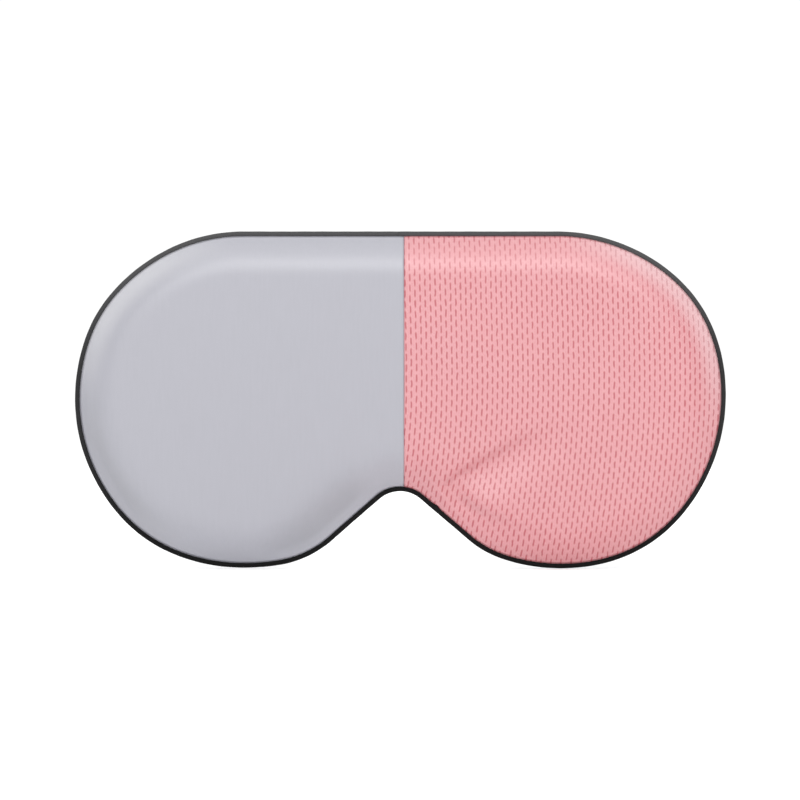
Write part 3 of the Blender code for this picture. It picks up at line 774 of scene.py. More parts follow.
def edge_distance(x, z):
    """How far inside the outline each point is, in mm."""
    points = np.stack([np.ravel(x), np.ravel(z)], 1)
    edges = np.roll(OUTLINE, -1, 0) - OUTLINE
    nearest = np.empty(len(points))
    batch = 4000                             # keeps the arrays small
    for i in range(0, len(points), batch):
        offset = points[i:i + batch][:, None, :] - OUTLINE[None]
        share = np.clip((offset * edges[None]).sum(2) / (edges * edges).sum(1)[None], 0, 1)
        gap = np.linalg.norm(offset - share[..., None] * edges[None], axis=2)
        nearest[i:i + batch] = gap.min(1)
    return nearest.reshape(np.shape(x))


def inside_outline(x, z):
    """Crossing test against the mask's outline."""
    odd = np.zeros(np.shape(x), bool)
    for (ax, az), (bx, bz) in zip(OUTLINE, np.roll(OUTLINE, -1, 0)):
        if az != bz:
            odd ^= ((az > z) != (bz > z)) & (x < (bx - ax) * (z - az) / (bz - az) + ax)
    return odd


# ---------------------------------------------------------------- panel relief
def pillow_profile():
    """Depth inside the edge, mm, and the share of the full rise reached there."""
    depth = np.linspace(0, 26, 521)
    steepness = ((0.55 + 0.45 * smoothstep((depth - 1.5) / 2.0)) * (depth > 1.45)
                 * (1 - smoothstep((depth - 3.4) / 12.4)))
    rise = np.cumsum(steepness)
    return depth, rise / rise[-1]


PILLOW_DEPTH, PILLOW_RISE = pillow_profile()


def swell(depth):
    """Pillow rise, 0 at the sewn edge to 1 on the flat middle."""
    return np.interp(depth, PILLOW_DEPTH, PILLOW_RISE)


def path_fold(x, z, path, above_reach, below_reach, height, taper):
    """A lopsided fold along a line that runs towards +x, with its own reach above and
    below. The taper gives the shares of the line over which it fades in and out."""
    place = np.stack([x, z], -1)
    nearest = np.full(np.shape(x), 1e9)
    at = np.zeros(np.shape(x))
    above = np.zeros(np.shape(x))
    line = resample(path, 40)
    segments = len(line) - 1
    for i in range(segments):
        start = line[i]
        step = line[i + 1] - start
        share = np.clip(((place - start) @ step) / (step @ step), 0, 1)
        gap = np.linalg.norm(place - start - share[..., None] * step, axis=-1)
        cross = step[0] * (place[..., 1] - start[1]) - step[1] * (place[..., 0] - start[0])
        at = np.where(gap < nearest, (i + share) / segments, at)
        above = np.where(gap < nearest, cross, above)
        nearest = np.minimum(nearest, gap)
    fade = smoothstep(at / taper[0]) * smoothstep((1 - at) / taper[1])
    reach = np.where(above > 0, above_reach, below_reach)
    return height * fade * np.exp(-(nearest / reach) ** 2)


def wave(x, z, seed, scale):
    """Gentle seeded undulation, about -1 to 1."""
    rng = np.random.default_rng(seed)
    total = 0.0
    for _ in range(7):
        heading = rng.uniform(0, TURN)
        frequency = rng.uniform(0.6, 1.6) / scale
        total = total + np.sin((x * math.cos(heading) + z * math.sin(heading))
                               * frequency * 2 * math.pi + rng.uniform(0, 6.28))
    return total / 4.0


def lobe_arc(radius, start, stop):
    """Arc round the left lobe's centre, angles in degrees."""
    return [(-LOBE_X + radius * math.cos(angle), radius * math.sin(angle))
            for angle in np.radians(np.linspace(start, stop, 8))]


# the line along the grey half's nose flank where its padding thins, (x, z)
THIN_FLANK = [(-50.0, -51.5), (-40.0, -50.0), (-31.0, -45.6), (-25.7, -41.0), (-14.0, -30.8),
              (-6.0, -27.8)]
# Folds are (line, reach above, reach below, depth, taper).
MESH_FOLDS = [
    ([(13.0, -31.5), (19.0, -25.6), (27.2, -21.2), (34, -17.6), (41, -13.8), (52, -10.2),
      (62, -9.0)], 2.5, 8.0, 3.0, (0.10, 0.80)),
    ([(13.5, -31.8), (20, -34.6), (28, -38.4), (38, -42.4), (52, -45.0)],
     2.3, 6.5, 1.7, (0.12, 0.75)),
]
SATIN_FOLDS = [
    (THIN_FLANK, 6.5, 5.0, 1.5, (0.35, 0.25)),
    (lobe_arc(51.0, 184, 238), 7.0, 4.0, 1.3, (0.4, 0.4)),
]
# the same two places as painted shade; depth is the share taken off the satin's colour
SATIN_PAINTED_SHADE = [
    (THIN_FLANK, 8.4, 3.4, 0.158, (0.47, 0.25)),
    (lobe_arc(49.0, 168, 250), 3.7, 7.5, 0.165, (0.36, 0.37)),
]
# for each side: folds, width over which they start at the edge, wave height, seed, length
FRONT_RELIEF = {1: (MESH_FOLDS, 7.0, 0.06, 5, 30.0), -1: (SATIN_FOLDS, 4.0, 0.02, 3, 50.0)}
# for each side, the painted highlight on the upper border: share of white; angles round the
# lobe where it starts, its fade-in and its end; depth inside the edge where it starts to fade,
# and over how far
BORDER_PAINTED_HIGHLIGHT = {1: (0.23, 86, 38, 196, 2.5, 7.0), -1: (0.22, 90, 40, 186, 3.5, 6.5)}


def satin_painted_shade(x, z):
    """Share of painted shade taken off the satin, low on the lobe and along the flank."""
    return np.clip(sum(path_fold(x, z, *fold) for fold in SATIN_PAINTED_SHADE), 0.0, 0.25)


def border_painted_highlight(x, z, side, depth):
    """Share of white on the upper border of each lobe: a broad painted highlight where the
    puffed edge faces the lights."""
    share, start, fade_in, end, fade_from, fade_over = BORDER_PAINTED_HIGHLIGHT[side]
    turn = np.degrees(np.arctan2(z, LOBE_X - side * x)) % 360
    reach = smoothstep((turn - start) / fade_in) * smoothstep((end - turn) / 40)
    return share * reach * (1 - smoothstep((depth - fade_from) / fade_over))


def front_height(x, z, side):
    """Y of the front cloth."""
    folds, tuck_width, wave_height, seed, wave_length = FRONT_RELIEF[side]
    depth = edge_distance(x, z)
    y = -(EDGE_Y + (FRONT_T - EDGE_Y) * swell(depth))
    inner = smoothstep((depth - 3.0) / 12.0)
    y = y + inner * wave_height * wave(x, z, seed, wave_length)
    tuck = smoothstep((depth - EDGE_INSET) / tuck_width)
    for fold in folds:
        y = y + tuck * path_fold(x, z, *fold)
    # the two fabrics turn under a hair at the centre seam
    return y + 0.10 * np.exp(-(np.abs(x - SEAM_X) / 0.35) ** 2)


def eye_radius(x, z, side):
    """1 on the quilted oval, 0 at its middle."""
    return np.sqrt(((x - side * EYE_X) / EYE_HALF_W) ** 2 + ((z - EYE_Z) / EYE_HALF_H) ** 2)


def rear_shape(x, z, side):
    """Y of the lining before it slackens."""
    depth = edge_distance(x, z)
    y = EDGE_Y + (REAR_T - EDGE_Y) * swell(depth)
    radius = eye_radius(x, z, side)
    y = y - 1.7 * (1 - smoothstep(radius / 0.98))                  # hollow over the eye
    y = y - 0.55 * np.exp(-((radius - 1.0) * 20.0 / 0.9) ** 2)     # groove round it
    y = y + 0.06 * wave(x, z, 11, 24.0) * smoothstep((depth - 3) / 10)
    from_seam = np.abs(x - SEAM_X)
    return y - 0.5 * np.exp(-(from_seam / 1.1) ** 2) * smoothstep((depth - 1.5) / 4.0)


# ---------------------------------------------------------------- slack of the lining
SLACK_STEP = 1.9                             # grid of the cloth run, mm
SLACK_FLOOR, SLACK_CAP = -0.18, 1.25         # how far the cloth may sink and rise
SLACK_SCALE = 0.01                           # the run is done at ten times the size
SLACK_FRAMES = 20


def run_cloth(sheet, held):
    """Fills the sheet from behind, held at some points; gives each point's Y after it."""
    pins = sheet.vertex_groups.new(name="held")
    pins.add(np.nonzero(held.reshape(-1))[0].tolist(), 1.0, "REPLACE")
    modifier = sheet.modifiers.new("cloth", "CLOTH")
    settings = modifier.settings
    settings.quality = 6
    settings.mass = 0.15
    settings.tension_stiffness = 18.0
    settings.compression_stiffness = 18.0
    settings.shear_stiffness = 6.0
    settings.bending_stiffness = 0.25
    settings.vertex_group_mass = "held"
    settings.shrink_min = settings.shrink_max = -0.03
    settings.use_pressure = True
    settings.uniform_pressure_force = 1.6
    settings.effector_weights.gravity = 0.0
    modifier.collision_settings.use_collision = False
    modifier.collision_settings.use_self_collision = False
    modifier.point_cache.frame_start = 1
    modifier.point_cache.frame_end = SLACK_FRAMES
    scene = bpy.context.scene
    for i in range(1, SLACK_FRAMES + 1):
        scene.frame_set(i)
    evaluated = sheet.evaluated_get(bpy.context.evaluated_depsgraph_get())
    places = np.empty(len(evaluated.data.vertices) * 3)
    evaluated.data.vertices.foreach_get("co", places)
    scene.frame_set(1)
    return places.reshape(-1, 3)[:, 1]


@lru_cache(maxsize=None)
def slack_lining(side):
    """Cloth run for one lining: an even sheet, sewn down at the rim, at the centre seam and
    along the quilting lines, cut a little too big. Returns the grid and how far each point
    of it rose, in mm."""
    grid_x = np.arange(0.0, 106.0, SLACK_STEP)
    grid_z = np.arange(-58.0, 58.0, SLACK_STEP)
    x, z = np.meshgrid(side * grid_x + SEAM_X, grid_z, indexing="ij")
    depth = edge_distance(x, z)
    inside = inside_outline(x, z)
    held = (~inside | (depth < 3.0) | (np.abs(depth - QUILT_INSET) < 1.1)
            | (np.abs(x - SEAM_X) < 2.2)
            | (np.abs(eye_radius(x, z, side) - 1.0) * 20.0 < 1.15))
    start_y = np.where(inside, rear_shape(x, z, side), EDGE_Y)
    sheet = make(f"slack_{SIDES[side]}",
                 np.stack([x, start_y, z], -1).reshape(-1, 3) * SLACK_SCALE,
                 grid_faces(len(grid_x), len(grid_z)), LINING)
    face_along_y(sheet, 1)
    rise = (run_cloth(sheet, held) / SLACK_SCALE).reshape(x.shape) - start_y
    bpy.data.objects.remove(sheet)
    rise = np.where(held, 0.0, np.clip(rise, SLACK_FLOOR, SLACK_CAP))
    return grid_x, grid_z, np.nan_to_num(rise)


def rear_height(x, z, side):
    """Y of the skin side of a half: the shaped lining plus its simulated slack."""
    grid_x, grid_z, rise = slack_lining(side)
    column = np.clip(side * (x - SEAM_X) / SLACK_STEP, 0, len(grid_x) - 1.001)
    row = np.clip((z - grid_z[0]) / SLACK_STEP, 0, len(grid_z) - 1.001)
    i, j = np.floor(column).astype(int), np.floor(row).astype(int)
    over, up = smoothstep(column - i), smoothstep(row - j)
    lift = ((rise[i, j] * (1 - over) + rise[i + 1, j] * over) * (1 - up)
            + (rise[i, j + 1] * (1 - over) + rise[i + 1, j + 1] * over) * up)
    return rear_shape(x, z, side) + lift


# ---------------------------------------------------------------- padded halves
def lobe_sheet(side, inset, end, edge_count, seam_count, rings):
    """Flat quad sheet that follows a half's outline and runs in to a point near the middle
    of the lobe, so that the whole border has the same fine spacing. The rings are shares
    of the way in. Returns x, z, the faces and the points in a ring."""
    rim = half_line(side, inset, end, edge_count)
    seam_z = np.linspace(rim[-1, 1], rim[0, 1], seam_count)[1:-1]
    loop = np.concatenate([rim, np.stack([np.full(len(seam_z), end), seam_z], 1)])
    rows = [SHEET_TIP + (loop - SHEET_TIP) * (1 - share) for share in rings]
    points = np.concatenate(rows + [SHEET_TIP[None]])
    count = len(loop)
    last = (len(rows) - 1) * count
    tip = len(points) - 1
    faces = grid_faces(len(rows), count, closed_cols=True)
    faces += [(last + j, last + (j + 1) % count, tip) for j in range(count)]
    return side * points[:, 0], points[:, 1], faces, count


def build_panel(name, side, height, material, edge_count, seam_count, facing):
    """One cloth panel; facing is -1 for the front and 1 for the skin side."""
    rings = np.concatenate([np.linspace(0, 0.34, 27), np.linspace(0.34, 0.965, 30)[1:]])
    x, z, faces, _ = lobe_sheet(side, EDGE_INSET, side * SEAM_X, edge_count, seam_count,
                                rings)
    y = height(x, z, side)
    depth = edge_distance(x, z)
    upper = np.clip(z / LOBE_R, 0, 1) ** 2
    # three of the attributes below carry painted highlight and painted shade into the colours
    panel = make_mask_part(
        name, np.stack([x, y, z], 1), faces, material,
        extra={"ridge": upper * np.exp(-((depth - 8.5) / 4.5) ** 2),
               "painted_shade": satin_painted_shade(x, z),
               "glow": border_painted_highlight(x, z, side, depth),
               "weave": np.stack([*knit_coords(x, z), np.zeros(len(x))], 1)})
    face_along_y(panel, facing)
    thicken = panel.modifiers.new("cloth", "SOLIDIFY")
    thicken.thickness = CLOTH_T * MM
    thicken.offset = -1.0
    blend_across_fold(panel)
    return panel


def build_half(side, tag):
    front = build_panel(f"front_cloth_{tag}", side, front_height, MESH if side > 0 else SATIN,
                        edge_count=300, seam_count=84, facing=-1)
    register(front, "pink_mesh" if side > 0 else "grey_satin", f"front_panel_{tag}")
    rear = build_panel(f"rear_lining_{tag}", side, rear_height, LINING,
                       edge_count=260, seam_count=72, facing=1)
    register(rear, "lining", f"rear_panel_{tag}")


def build_piping():
    """Cord round the whole outline."""
    count, segments = 760, 16
    knob_x, knob_z, knob_width = 11.9, -34.5, 1.15
    loop = full_outline(PIPE_R)
    line = resample(np.concatenate([loop, loop[:1]]), count + 1)[:-1]
    following = np.roll(line, -1, 0)
    along = following - np.roll(line, 1, 0)
    along /= np.linalg.norm(along, axis=1)[:, None]
    outwards = np.stack([along[:, 1], -along[:, 0]], 1)
    if (outwards * line).sum() < 0:
        outwards = -outwards
    travelled = np.arange(count) * np.linalg.norm(following - line, axis=1).mean()
    angle = TURN * np.arange(segments) / segments
    plump = 1.0 + 0.015 * np.sin(travelled * 0.9) + 0.012 * np.sin(travelled * 0.31 + 1)
    radius = PIPE_R * plump[:, None]
    # the cord's two ends overlap beside the nose: a small knob on its inner side
    from_knob = np.linalg.norm(line - (knob_x, knob_z), axis=1)
    knob = np.exp(-(from_knob / knob_width) ** 2)[:, None]
    inward = np.clip(-np.cos(angle), 0, 1) ** 2
    flat_radius = radius + knob * inward * 0.75
    x = line[:, 0:1] + outwards[:, 0:1] * np.cos(angle) * flat_radius
    z = line[:, 1:2] + outwards[:, 1:2] * np.cos(angle) * flat_radius
    y = np.sin(angle) * radius * 1.02 - knob * 0.55 * inward
    # which way the cord's edge faces drives the painted light and shade in its colour
    piping = make_mask_part(
        "piping_cord", np.stack([x, y, z], -1).reshape(-1, 3),
        grid_faces(count, segments, closed_cols=True, closed_rows=True), CORD,
        extra={"along": np.repeat(travelled, segments),
               "around": np.tile(angle * PIPE_R, count),
               "rim": np.repeat(outwards[:, 1], segments)})
    fix_normals(piping)
    blend_across_fold(piping)
    register(piping, "piping", "piping_left", "piping_right")


# ---------------------------------------------------------------- padding inside
FOAM_SEAM_GAP = 5.2
FOAM_UNDER_CLOTH = 0.85                      # foam face below the cloth face
FOAM_MIN_T = 0.12
MOTOR_POCKET_R, MOTOR_POCKET_DEPTH = 9.0, 20.0


def build_foam(side, tag, kind):
    """Foam slab with rounded shoulders, cut back from the centre seam."""
    rings = np.concatenate([np.linspace(0, 0.36, 12), np.linspace(0.36, 0.96, 9)[1:]])
    x, z, top, ring = lobe_sheet(side, 5.7 if kind == "rear" else 3.4,
                                 FOAM_SEAM_GAP + side * SEAM_X, 150, 40, rings)
    shoulder = 0.6 + 0.4 * smoothstep((np.abs(x - SEAM_X) - 5.0) / 4.0)
    if kind == "rear":
        face = rear_height(x, z, side) - FOAM_UNDER_CLOTH
        outer = 1.9 + np.maximum(face - 1.9, FOAM_MIN_T) * shoulder
        inner = 1.75
    else:
        face = front_height(x, z, side) + FOAM_UNDER_CLOTH
        outer = -0.5 - np.maximum(-face - 0.5, FOAM_MIN_T) * shoulder
        inner = -0.3
    count = len(x)
    points = np.concatenate([np.stack([x, outer, z], 1),
                             np.stack([x, np.full(count, inner), z], 1)])
    bottom = [tuple(i + count for i in reversed(corners)) for corners in top]
    wall = [(j, j + count, (j + 1) % ring + count, (j + 1) % ring) for j in range(ring)]
    foam = fix_normals(make_mask_part(f"{kind}_padding_{tag}", points, top + bottom + wall,
                                      FOAM))
    if kind == "front":
        # pocket for the coin motor
        lo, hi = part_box(f"motor_holder_{tag}")
        bpy.ops.mesh.primitive_cylinder_add(
            vertices=48, radius=MOTOR_POCKET_R * MM, depth=MOTOR_POCKET_DEPTH * MM,
            location=(lo + hi) / 2, rotation=(math.pi / 2, 0, 0))
        cut_away(foam, [bpy.context.object])
    blend_across_fold(foam)
    register(foam, "foam", f"{kind}_foam_{tag}")


# ---------------------------------------------------------------- cords
# domed cord end: share of the radius covered lengthwise, and share of the full radius
DOME_REACH = np.array([0.0, 0.3, 0.75])
DOME_WIDTH = np.array([0.15, 0.72, 0.96])


def tube_points(centres, radii, across, other, sides):
    """Rings of points round a line, in the planes of two crosswise directions."""
    angle = TURN * np.arange(sides) / sides
    rings = (np.cos(angle)[:, None] * across[:, None]
             + np.sin(angle)[:, None] * other[:, None])
    return (centres[:, None] + radii[:, None, None] * rings).reshape(-1, 3)


def cord(name, points, radius, sides, spacing, profile=((0, 1), (1, 1))):
    """Round cord along a smooth line, with domed ends. The profile has shares of the
    length and the radius factors there."""
    line = catmull(points)
    length = path_length(line)
    count = max(8, int(length / spacing))
    line = resample(line, count)
    radii = np.interp(np.linspace(0, length, count) / length, *profile) * radius
    along = tangents(line)
    # carry one crosswise direction along the line, so that the cord doesn't twist
    direction = np.cross(along[0], (0.3, 0.2, 1.0))
    across = []
    for tangent in along:
        direction = direction - tangent * (direction @ tangent)
        direction = direction / np.linalg.norm(direction)
        across.append(direction)
    across = np.array(across)
    other = np.cross(along, across)
    at = np.r_[[0] * 3, np.arange(count), [count - 1] * 3]
    push = np.r_[DOME_REACH - 1, np.zeros(count), (1 - DOME_REACH)[::-1]]
    width = np.r_[DOME_WIDTH, np.ones(count), DOME_WIDTH[::-1]]
    centres = line[at] + along[at] * (radii[at] * push)[:, None]
    rings = tube_points(centres, radii[at] * width, across[at], other[at], sides)
    return fix_normals(make_mask_part(name, rings, capped_faces(len(at), sides), WIRE))


# the right half's run, the slack loop over the fold and the left half's run
INNER_RUN = [
    (94.5, 1.15, -12.6), (90.0, 1.15, -12.6), (80.0, 1.15, -24.0), (50.0, 1.15, -30.5),
    (20.0, 1.15, -22.0), (9.0, 1.15, -8.0), (8.2, 1.15, 6.0), (4.6, 1.6, 6.2),
    (1.3, 2.1, 6.2), (-2.2, 1.6, 6.2), (-6.2, 1.15, 6.0), (-7.0, 1.15, -8.0),
    (-20.0, 1.15, -22.0), (-50.0, 1.15, -30.5), (-60.0, 1.15, -29.5)]
# from the pod into the right half
POD_LEAD = [
    (98.6, 28.4, -5.0), (98.62, 26.4, -5.05), (98.75, 24.6, -5.6), (99.6, 20.6, -9.6),
    (100.6, 17.0, -12.2), (100.6, 12.5, -12.9), (98.6, 9.0, -12.7), (97.1, 6.6, -12.6),
    (96.8, 4.0, -12.6), (96.8, 1.6, -12.6)]
RELIEF_LINE = [(98.62, 26.0, -5.05), (98.64, 25.2, -5.2), (98.8, 24.2, -5.75),
               (99.1, 22.9, -6.9)]
RELIEF_PROFILE = ([0, 0.12, 0.2, 0.3, 0.38, 0.5, 0.58, 0.7, 0.78, 1.0],
                  [1.9, 1.9, 1.25, 1.5, 1.12, 1.35, 1.02, 1.18, 0.92, 0.85])


def build_inner_wiring():
    wires = cord("inner_wiring", INNER_RUN, radius=0.45, sides=8, spacing=1.2)
    blend_across_fold(wires)
    register(wires, "wire", "wiring_right", "bridge_jumper", "wiring_left")


def build_pod_cable():
    cable = cord("pod_cable", POD_LEAD, radius=0.75, sides=16, spacing=0.4)
    blend_at_root(cable)
    register(cable, "wire", "pod_lead")


def build_strain_relief():
    """Ribbed sleeve on the lead at the pod."""
    relief = cord("cable_strain_relief", RELIEF_LINE, radius=1.0, sides=18, spacing=0.16,
                  profile=RELIEF_PROFILE)
    blend_at_root(relief)
    register(relief, "wire")


def build_eyelet():
    """Soft ring sewn into the lining where the lead goes through it."""
    ring_r, half_width, half_height = 1.75, 0.62, 0.42
    ring_count, section_count = 48, 14
    # the lining's slope there, from points half a millimetre away each way
    x = EYELET_X + np.array([0, 0.5, -0.5, 0, 0])
    z = EYELET_Z + np.array([0, 0, 0, 0.5, -0.5])
    height = rear_height(x, z, 1)
    normal = np.array([height[2] - height[1], 1.0, height[4] - height[3]])
    normal /= np.linalg.norm(normal)
    across = np.cross(normal, (0.0, 0.0, 1.0))
    across /= np.linalg.norm(across)
    other = np.cross(normal, across)
    middle = np.array([EYELET_X, height[0], EYELET_Z]) + 0.15 * normal
    turn = (TURN * np.arange(ring_count) / ring_count)[:, None]
    outwards = np.cos(turn) * across + np.sin(turn) * other
    section = (TURN * np.arange(section_count) / section_count)[:, None]
    points = (middle + outwards[:, None] * (ring_r + half_width * np.cos(section))
              + normal * half_height * np.sin(section))
    ring = fix_normals(make_mask_part(
        "cable_eyelet", points.reshape(-1, 3),
        grid_faces(ring_count, section_count, closed_cols=True, closed_rows=True), WIRE))
    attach(ring, "right_half")
    register(ring, "wire")


# ---------------------------------------------------------------- bands and stitches
# strap from its root to the start of the head arc, seen from above: (x outwards, y)
STRAP_START = [(103.62, 0.95), (103.4, 4.0), (102.95, 7.4), (102.3, 11.0), (101.2, 15.0),
               (98.9, 18.6), (96.2, 21.6), (94.5, 24.8), (94.0, 28.5), (94.0, 40.0),
               (94.0, 54.0), (94.0, 66.0)]
HEAD_HALF_W = 94.0
HEAD_Y = 67.0                                # centre of the arc round the head
HEAD_DEPTH = {1: 51.0, -1: 54.6}             # the left strap passes outside the right one
OVERLAP_X = 15.0                             # each strap ends this far past the middle


def strap_line(side):
    """Strap centre line seen from above, x away from the middle, smooth and 1 mm apart,
    and its length."""
    sweep = math.pi / 2 + math.asin(OVERLAP_X / HEAD_HALF_W)
    angles = [sweep * i / 24 for i in range(1, 25)]
    line = catmull(STRAP_START + [(HEAD_HALF_W * math.cos(angle),
                                   HEAD_Y + HEAD_DEPTH[side] * math.sin(angle))
                                  for angle in angles], 12)
    length = path_length(line)
    return resample(line, int(length / 1.0)), length


STRAP_LINES = {side: strap_line(side) for side in SIDES}


def band(name, side, line, start, half_height, inner, outer, material, rows, edge=0.35,
         ripple=0.0, round_ends=0.0):
    """Flat woven band between two offsets from a line seen from above. Offsets grow away
    from the head; start is the arc length at the line's first point."""
    tangent = tangents(line)
    count = len(line)
    travelled = start + arc_positions(line)
    flat = half_height - edge
    # closed section as (offset, height): outer face, top edge, inner face, bottom edge
    heights = np.linspace(-1, 1, rows)
    turns = [math.pi * i / 6 for i in range(1, 6)]
    section = [(1.0, height * flat) for height in heights]
    section += [(math.cos(turn), flat + edge * math.sin(turn)) for turn in turns]
    section += [(-1.0, height * flat) for height in heights[::-1]]
    section += [(math.cos(math.pi + turn), -flat + edge * math.sin(math.pi + turn))
                for turn in turns]
    section_offset, section_height = np.array(section).T
    to_end = np.minimum(travelled - travelled[0], travelled[-1] - travelled)
    scale = np.ones(count)
    if round_ends:
        share = np.clip(to_end / round_ends, 0, 1)
        scale = 1 - ((1 - np.sqrt(np.clip(1 - (1 - share) ** 2, 0, 1)))
                     * round_ends / half_height)
    z = section_height[None, :] * scale[:, None]
    wobble = (ripple * (np.sin(travelled * 0.11 + side)
                        + 0.5 * np.sin(travelled * 0.23))[:, None] * (z / half_height))
    end_share = np.clip(to_end / 0.5, 0, 1)
    half_thick = (outer - inner) / 2 * np.sqrt(0.15 + 0.85 * end_share)[:, None]
    offset = (outer + inner) / 2 + section_offset[None, :] * half_thick + wobble
    x = line[:, 0:1] + tangent[:, 1:2] * offset
    y = line[:, 1:2] - tangent[:, 0:1] * offset
    return fix_normals(make_mask_part(
        name, np.stack([side * x, y, z], -1).reshape(-1, 3),
        capped_faces(count, len(section)), material,
        extra={"along": np.repeat(travelled, len(section)), "across": z.ravel(),
               "face": np.tile(section_offset, count)}))


def on_band(side, line, at, offset, z):
    """Points on a band's face: arc length, offset from its centre line, height."""
    tangent = tangents(line)
    travelled = arc_positions(line)
    at, offset, z = np.broadcast_arrays(np.asarray(at, float), offset, z)
    x, y = (np.interp(at, travelled, values) for values in line.T)
    out_x = np.interp(at, travelled, tangent[:, 1])
    out_y = np.interp(at, travelled, -tangent[:, 0])
    return np.stack([side * (x + out_x * offset), y + out_y * offset, z], -1)


STITCH_TAPER = np.array([0.35, 0.9, 1.0, 0.9, 0.35])
STITCH_SIDES = 6


def stitches(name, runs, material, length, gap, radius):
    """Thread stitches: each run is a line of mask-millimetre points on the cloth."""
    rings, faces = [], []
    rows = len(STITCH_TAPER)
    for run in runs:
        run = np.asarray(run, float)
        count = max(1, int(path_length(run) / (length + gap)))
        fine = resample(run, count * 8 + 1)
        for i in range(count):
            # six of every eight steps carry thread
            line = resample(fine[i * 8:i * 8 + 7], rows)
            along = tangents(line)
            across = np.cross(along, (0.31, 0.95, 0.1))
            across /= np.linalg.norm(across, axis=1)[:, None]
            faces += capped_faces(rows, STITCH_SIDES, base=len(rings) * rows * STITCH_SIDES)
            rings.append(tube_points(line, STITCH_TAPER * radius, across,
                                     np.cross(along, across), STITCH_SIDES))
    return fix_normals(make_mask_part(name, np.concatenate(rings), faces, material))


def build_strap(side, tag):
    line, length = STRAP_LINES[side]
    strap = band(f"elastic_strap_{tag}", side, line, 0.0, STRAP_HALF_H, -STRAP_T / 2,
                 STRAP_T / 2, ELASTIC, rows=33, ripple=0.05)
    blend_at_root(strap)
    register(strap, "elastic", f"strap_{tag}", f"strap_tab_{tag}")
    # on both faces, a row where the strap joins the mask and one across the hemmed end
    face = STRAP_T / 2 + 0.05
    z = np.linspace(-8.4, 8.4, 60)
    runs = [on_band(side, line, at, offset, z)
            for offset in (face, -face) for at in (3.0, length - 1.6)]
    rows = stitches(f"strap_stitching_{tag}", runs, THREAD_DARK, length=1.7, gap=0.7,
                    radius=0.16)
    blend_at_root(rows)
    register(rows, "elastic")


def build_closure_tape(side, tag):
    """Loop tape outside the right strap's end, or hook tape inside the left one's."""
    line, length = STRAP_LINES[side]
    travelled = arc_positions(line)
    kept = (travelled > length - TAPE_LENGTH) & (travelled < length - 0.6)
    part = resample(line[kept], 60)
    start = float(travelled[kept][0])
    near = STRAP_T / 2 + TAPE_GAP
    if side > 0:
        kind = "loop"
        far = near + LOOP_TAPE_T
        tape = band("loop_tape", side, part, start, TAPE_HALF_H, near, far, LOOP, rows=21,
                    edge=0.3, round_ends=1.6)
        sewn = far - 0.06                    # threads sink into the loops
    else:
        kind = "hook"
        sewn = -near - HOOK_TAPE_T
        tape = band("hook_tape_base", side, part, start, TAPE_HALF_H, sewn, -near, HOOK,
                    rows=21, edge=0.2, round_ends=1.6)
    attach(tape, "strap_" + tag)
    register(tape, "hook_loop", f"{kind}_patch")

    first, last, half = start + 1.1, length - 1.7, 7.9
    count = 60
    ring = [on_band(side, line, np.linspace(first, last, count), sewn, half),
            on_band(side, line, np.linspace(last, first, count), sewn, -half),
            on_band(side, line, first, sewn, np.linspace(-half, half, count)),
            on_band(side, line, last, sewn, np.linspace(half, -half, count))]
    sewing = stitches(f"{kind}_tape_stitching", ring, THREAD_DARK, length=1.6, gap=0.7,
                      radius=0.15)
    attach(sewing, "strap_" + tag)
    register(sewing, "hook_loop")


def build_hooks():
    """Small moulded hooks standing on the hook tape, in staggered rows."""
    line, length = STRAP_LINES[-1]
    tape_face = -(STRAP_T / 2 + TAPE_GAP + HOOK_TAPE_T)
    # each hook rises from inside the tape and bends over along the strap
    offsets = tape_face + np.array([0.05, -0.3, -0.45, -0.34])
    bend = np.array([0.0, 0.0, 0.5, 1.0])
    radii = np.array([0.16, 0.12, 0.11, 0.07])
    angle = math.pi / 4 + math.pi / 2 * np.arange(4)
    corners = np.stack([np.cos(angle), np.zeros(4), np.sin(angle)], 1)
    hooks, faces = [], []
    for at in np.arange(length - TAPE_LENGTH + 2.6, length - 2.8, 1.25):
        for j, z in enumerate(np.arange(-7.2, 7.21, 1.2)):
            shift, lean = (0.6, 0.28) if j % 2 else (0.0, -0.28)
            path = on_band(-1, line, at + shift + lean * bend, offsets, z)
            faces += capped_faces(4, 4, base=len(hooks) * 16, flip_caps=True)
            hooks.append((path[:, None] + radii[:, None, None] * corners).reshape(-1, 3))
    part = fix_normals(make_mask_part("hook_tape_hooks", np.concatenate(hooks), faces, HOOK))
    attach(part, "strap_left")
    register(part, "hook_loop")


def build_quilting(side, tag):
    """Stitching on the lining: round the eye and along the rim."""
    angle = np.linspace(0, TURN, 240)
    x = side * EYE_X + EYE_HALF_W * np.cos(angle)
    z = EYE_Z + EYE_HALF_H * np.sin(angle)
    oval = np.stack([x, rear_height(x, z, side) + 0.10, z], 1)
    edge = half_line(side, QUILT_INSET, 8.0 + side * SEAM_X, 500)
    x, z = side * edge[:, 0], edge[:, 1]
    rim = np.stack([x, rear_height(x, z, side) + 0.06, z], 1)
    sewing = stitches(f"quilting_{tag}", [oval, rim], THREAD, length=2.3, gap=1.0,
                      radius=0.19)
    blend_across_fold(sewing)
    register(sewing, "lining")


# ---------------------------------------------------------------- control pod cover
POD_WALL = 1.2
POD_FILLET = 2.4
POD_CORNER_R = 3.2
POD_INNER_FILLET = 1.4
POD_MIDDLE = 0.06                            # half height left where the faces close
CREASE_DEGREES = 32.0
# lathe profiles of the cutters: (radius, x above the cover's face)
BUTTON_RECESS = [(3.62, -3.0), (3.62, -0.62), (3.9, -0.5), (4.9, -0.34), (5.35, -0.1),
                 (5.6, 0.3), (5.6, 1.0)]
LENS_HOLE = [(1.45, -3.0), (1.45, -0.35), (1.8, -0.05), (2.0, 0.8)]
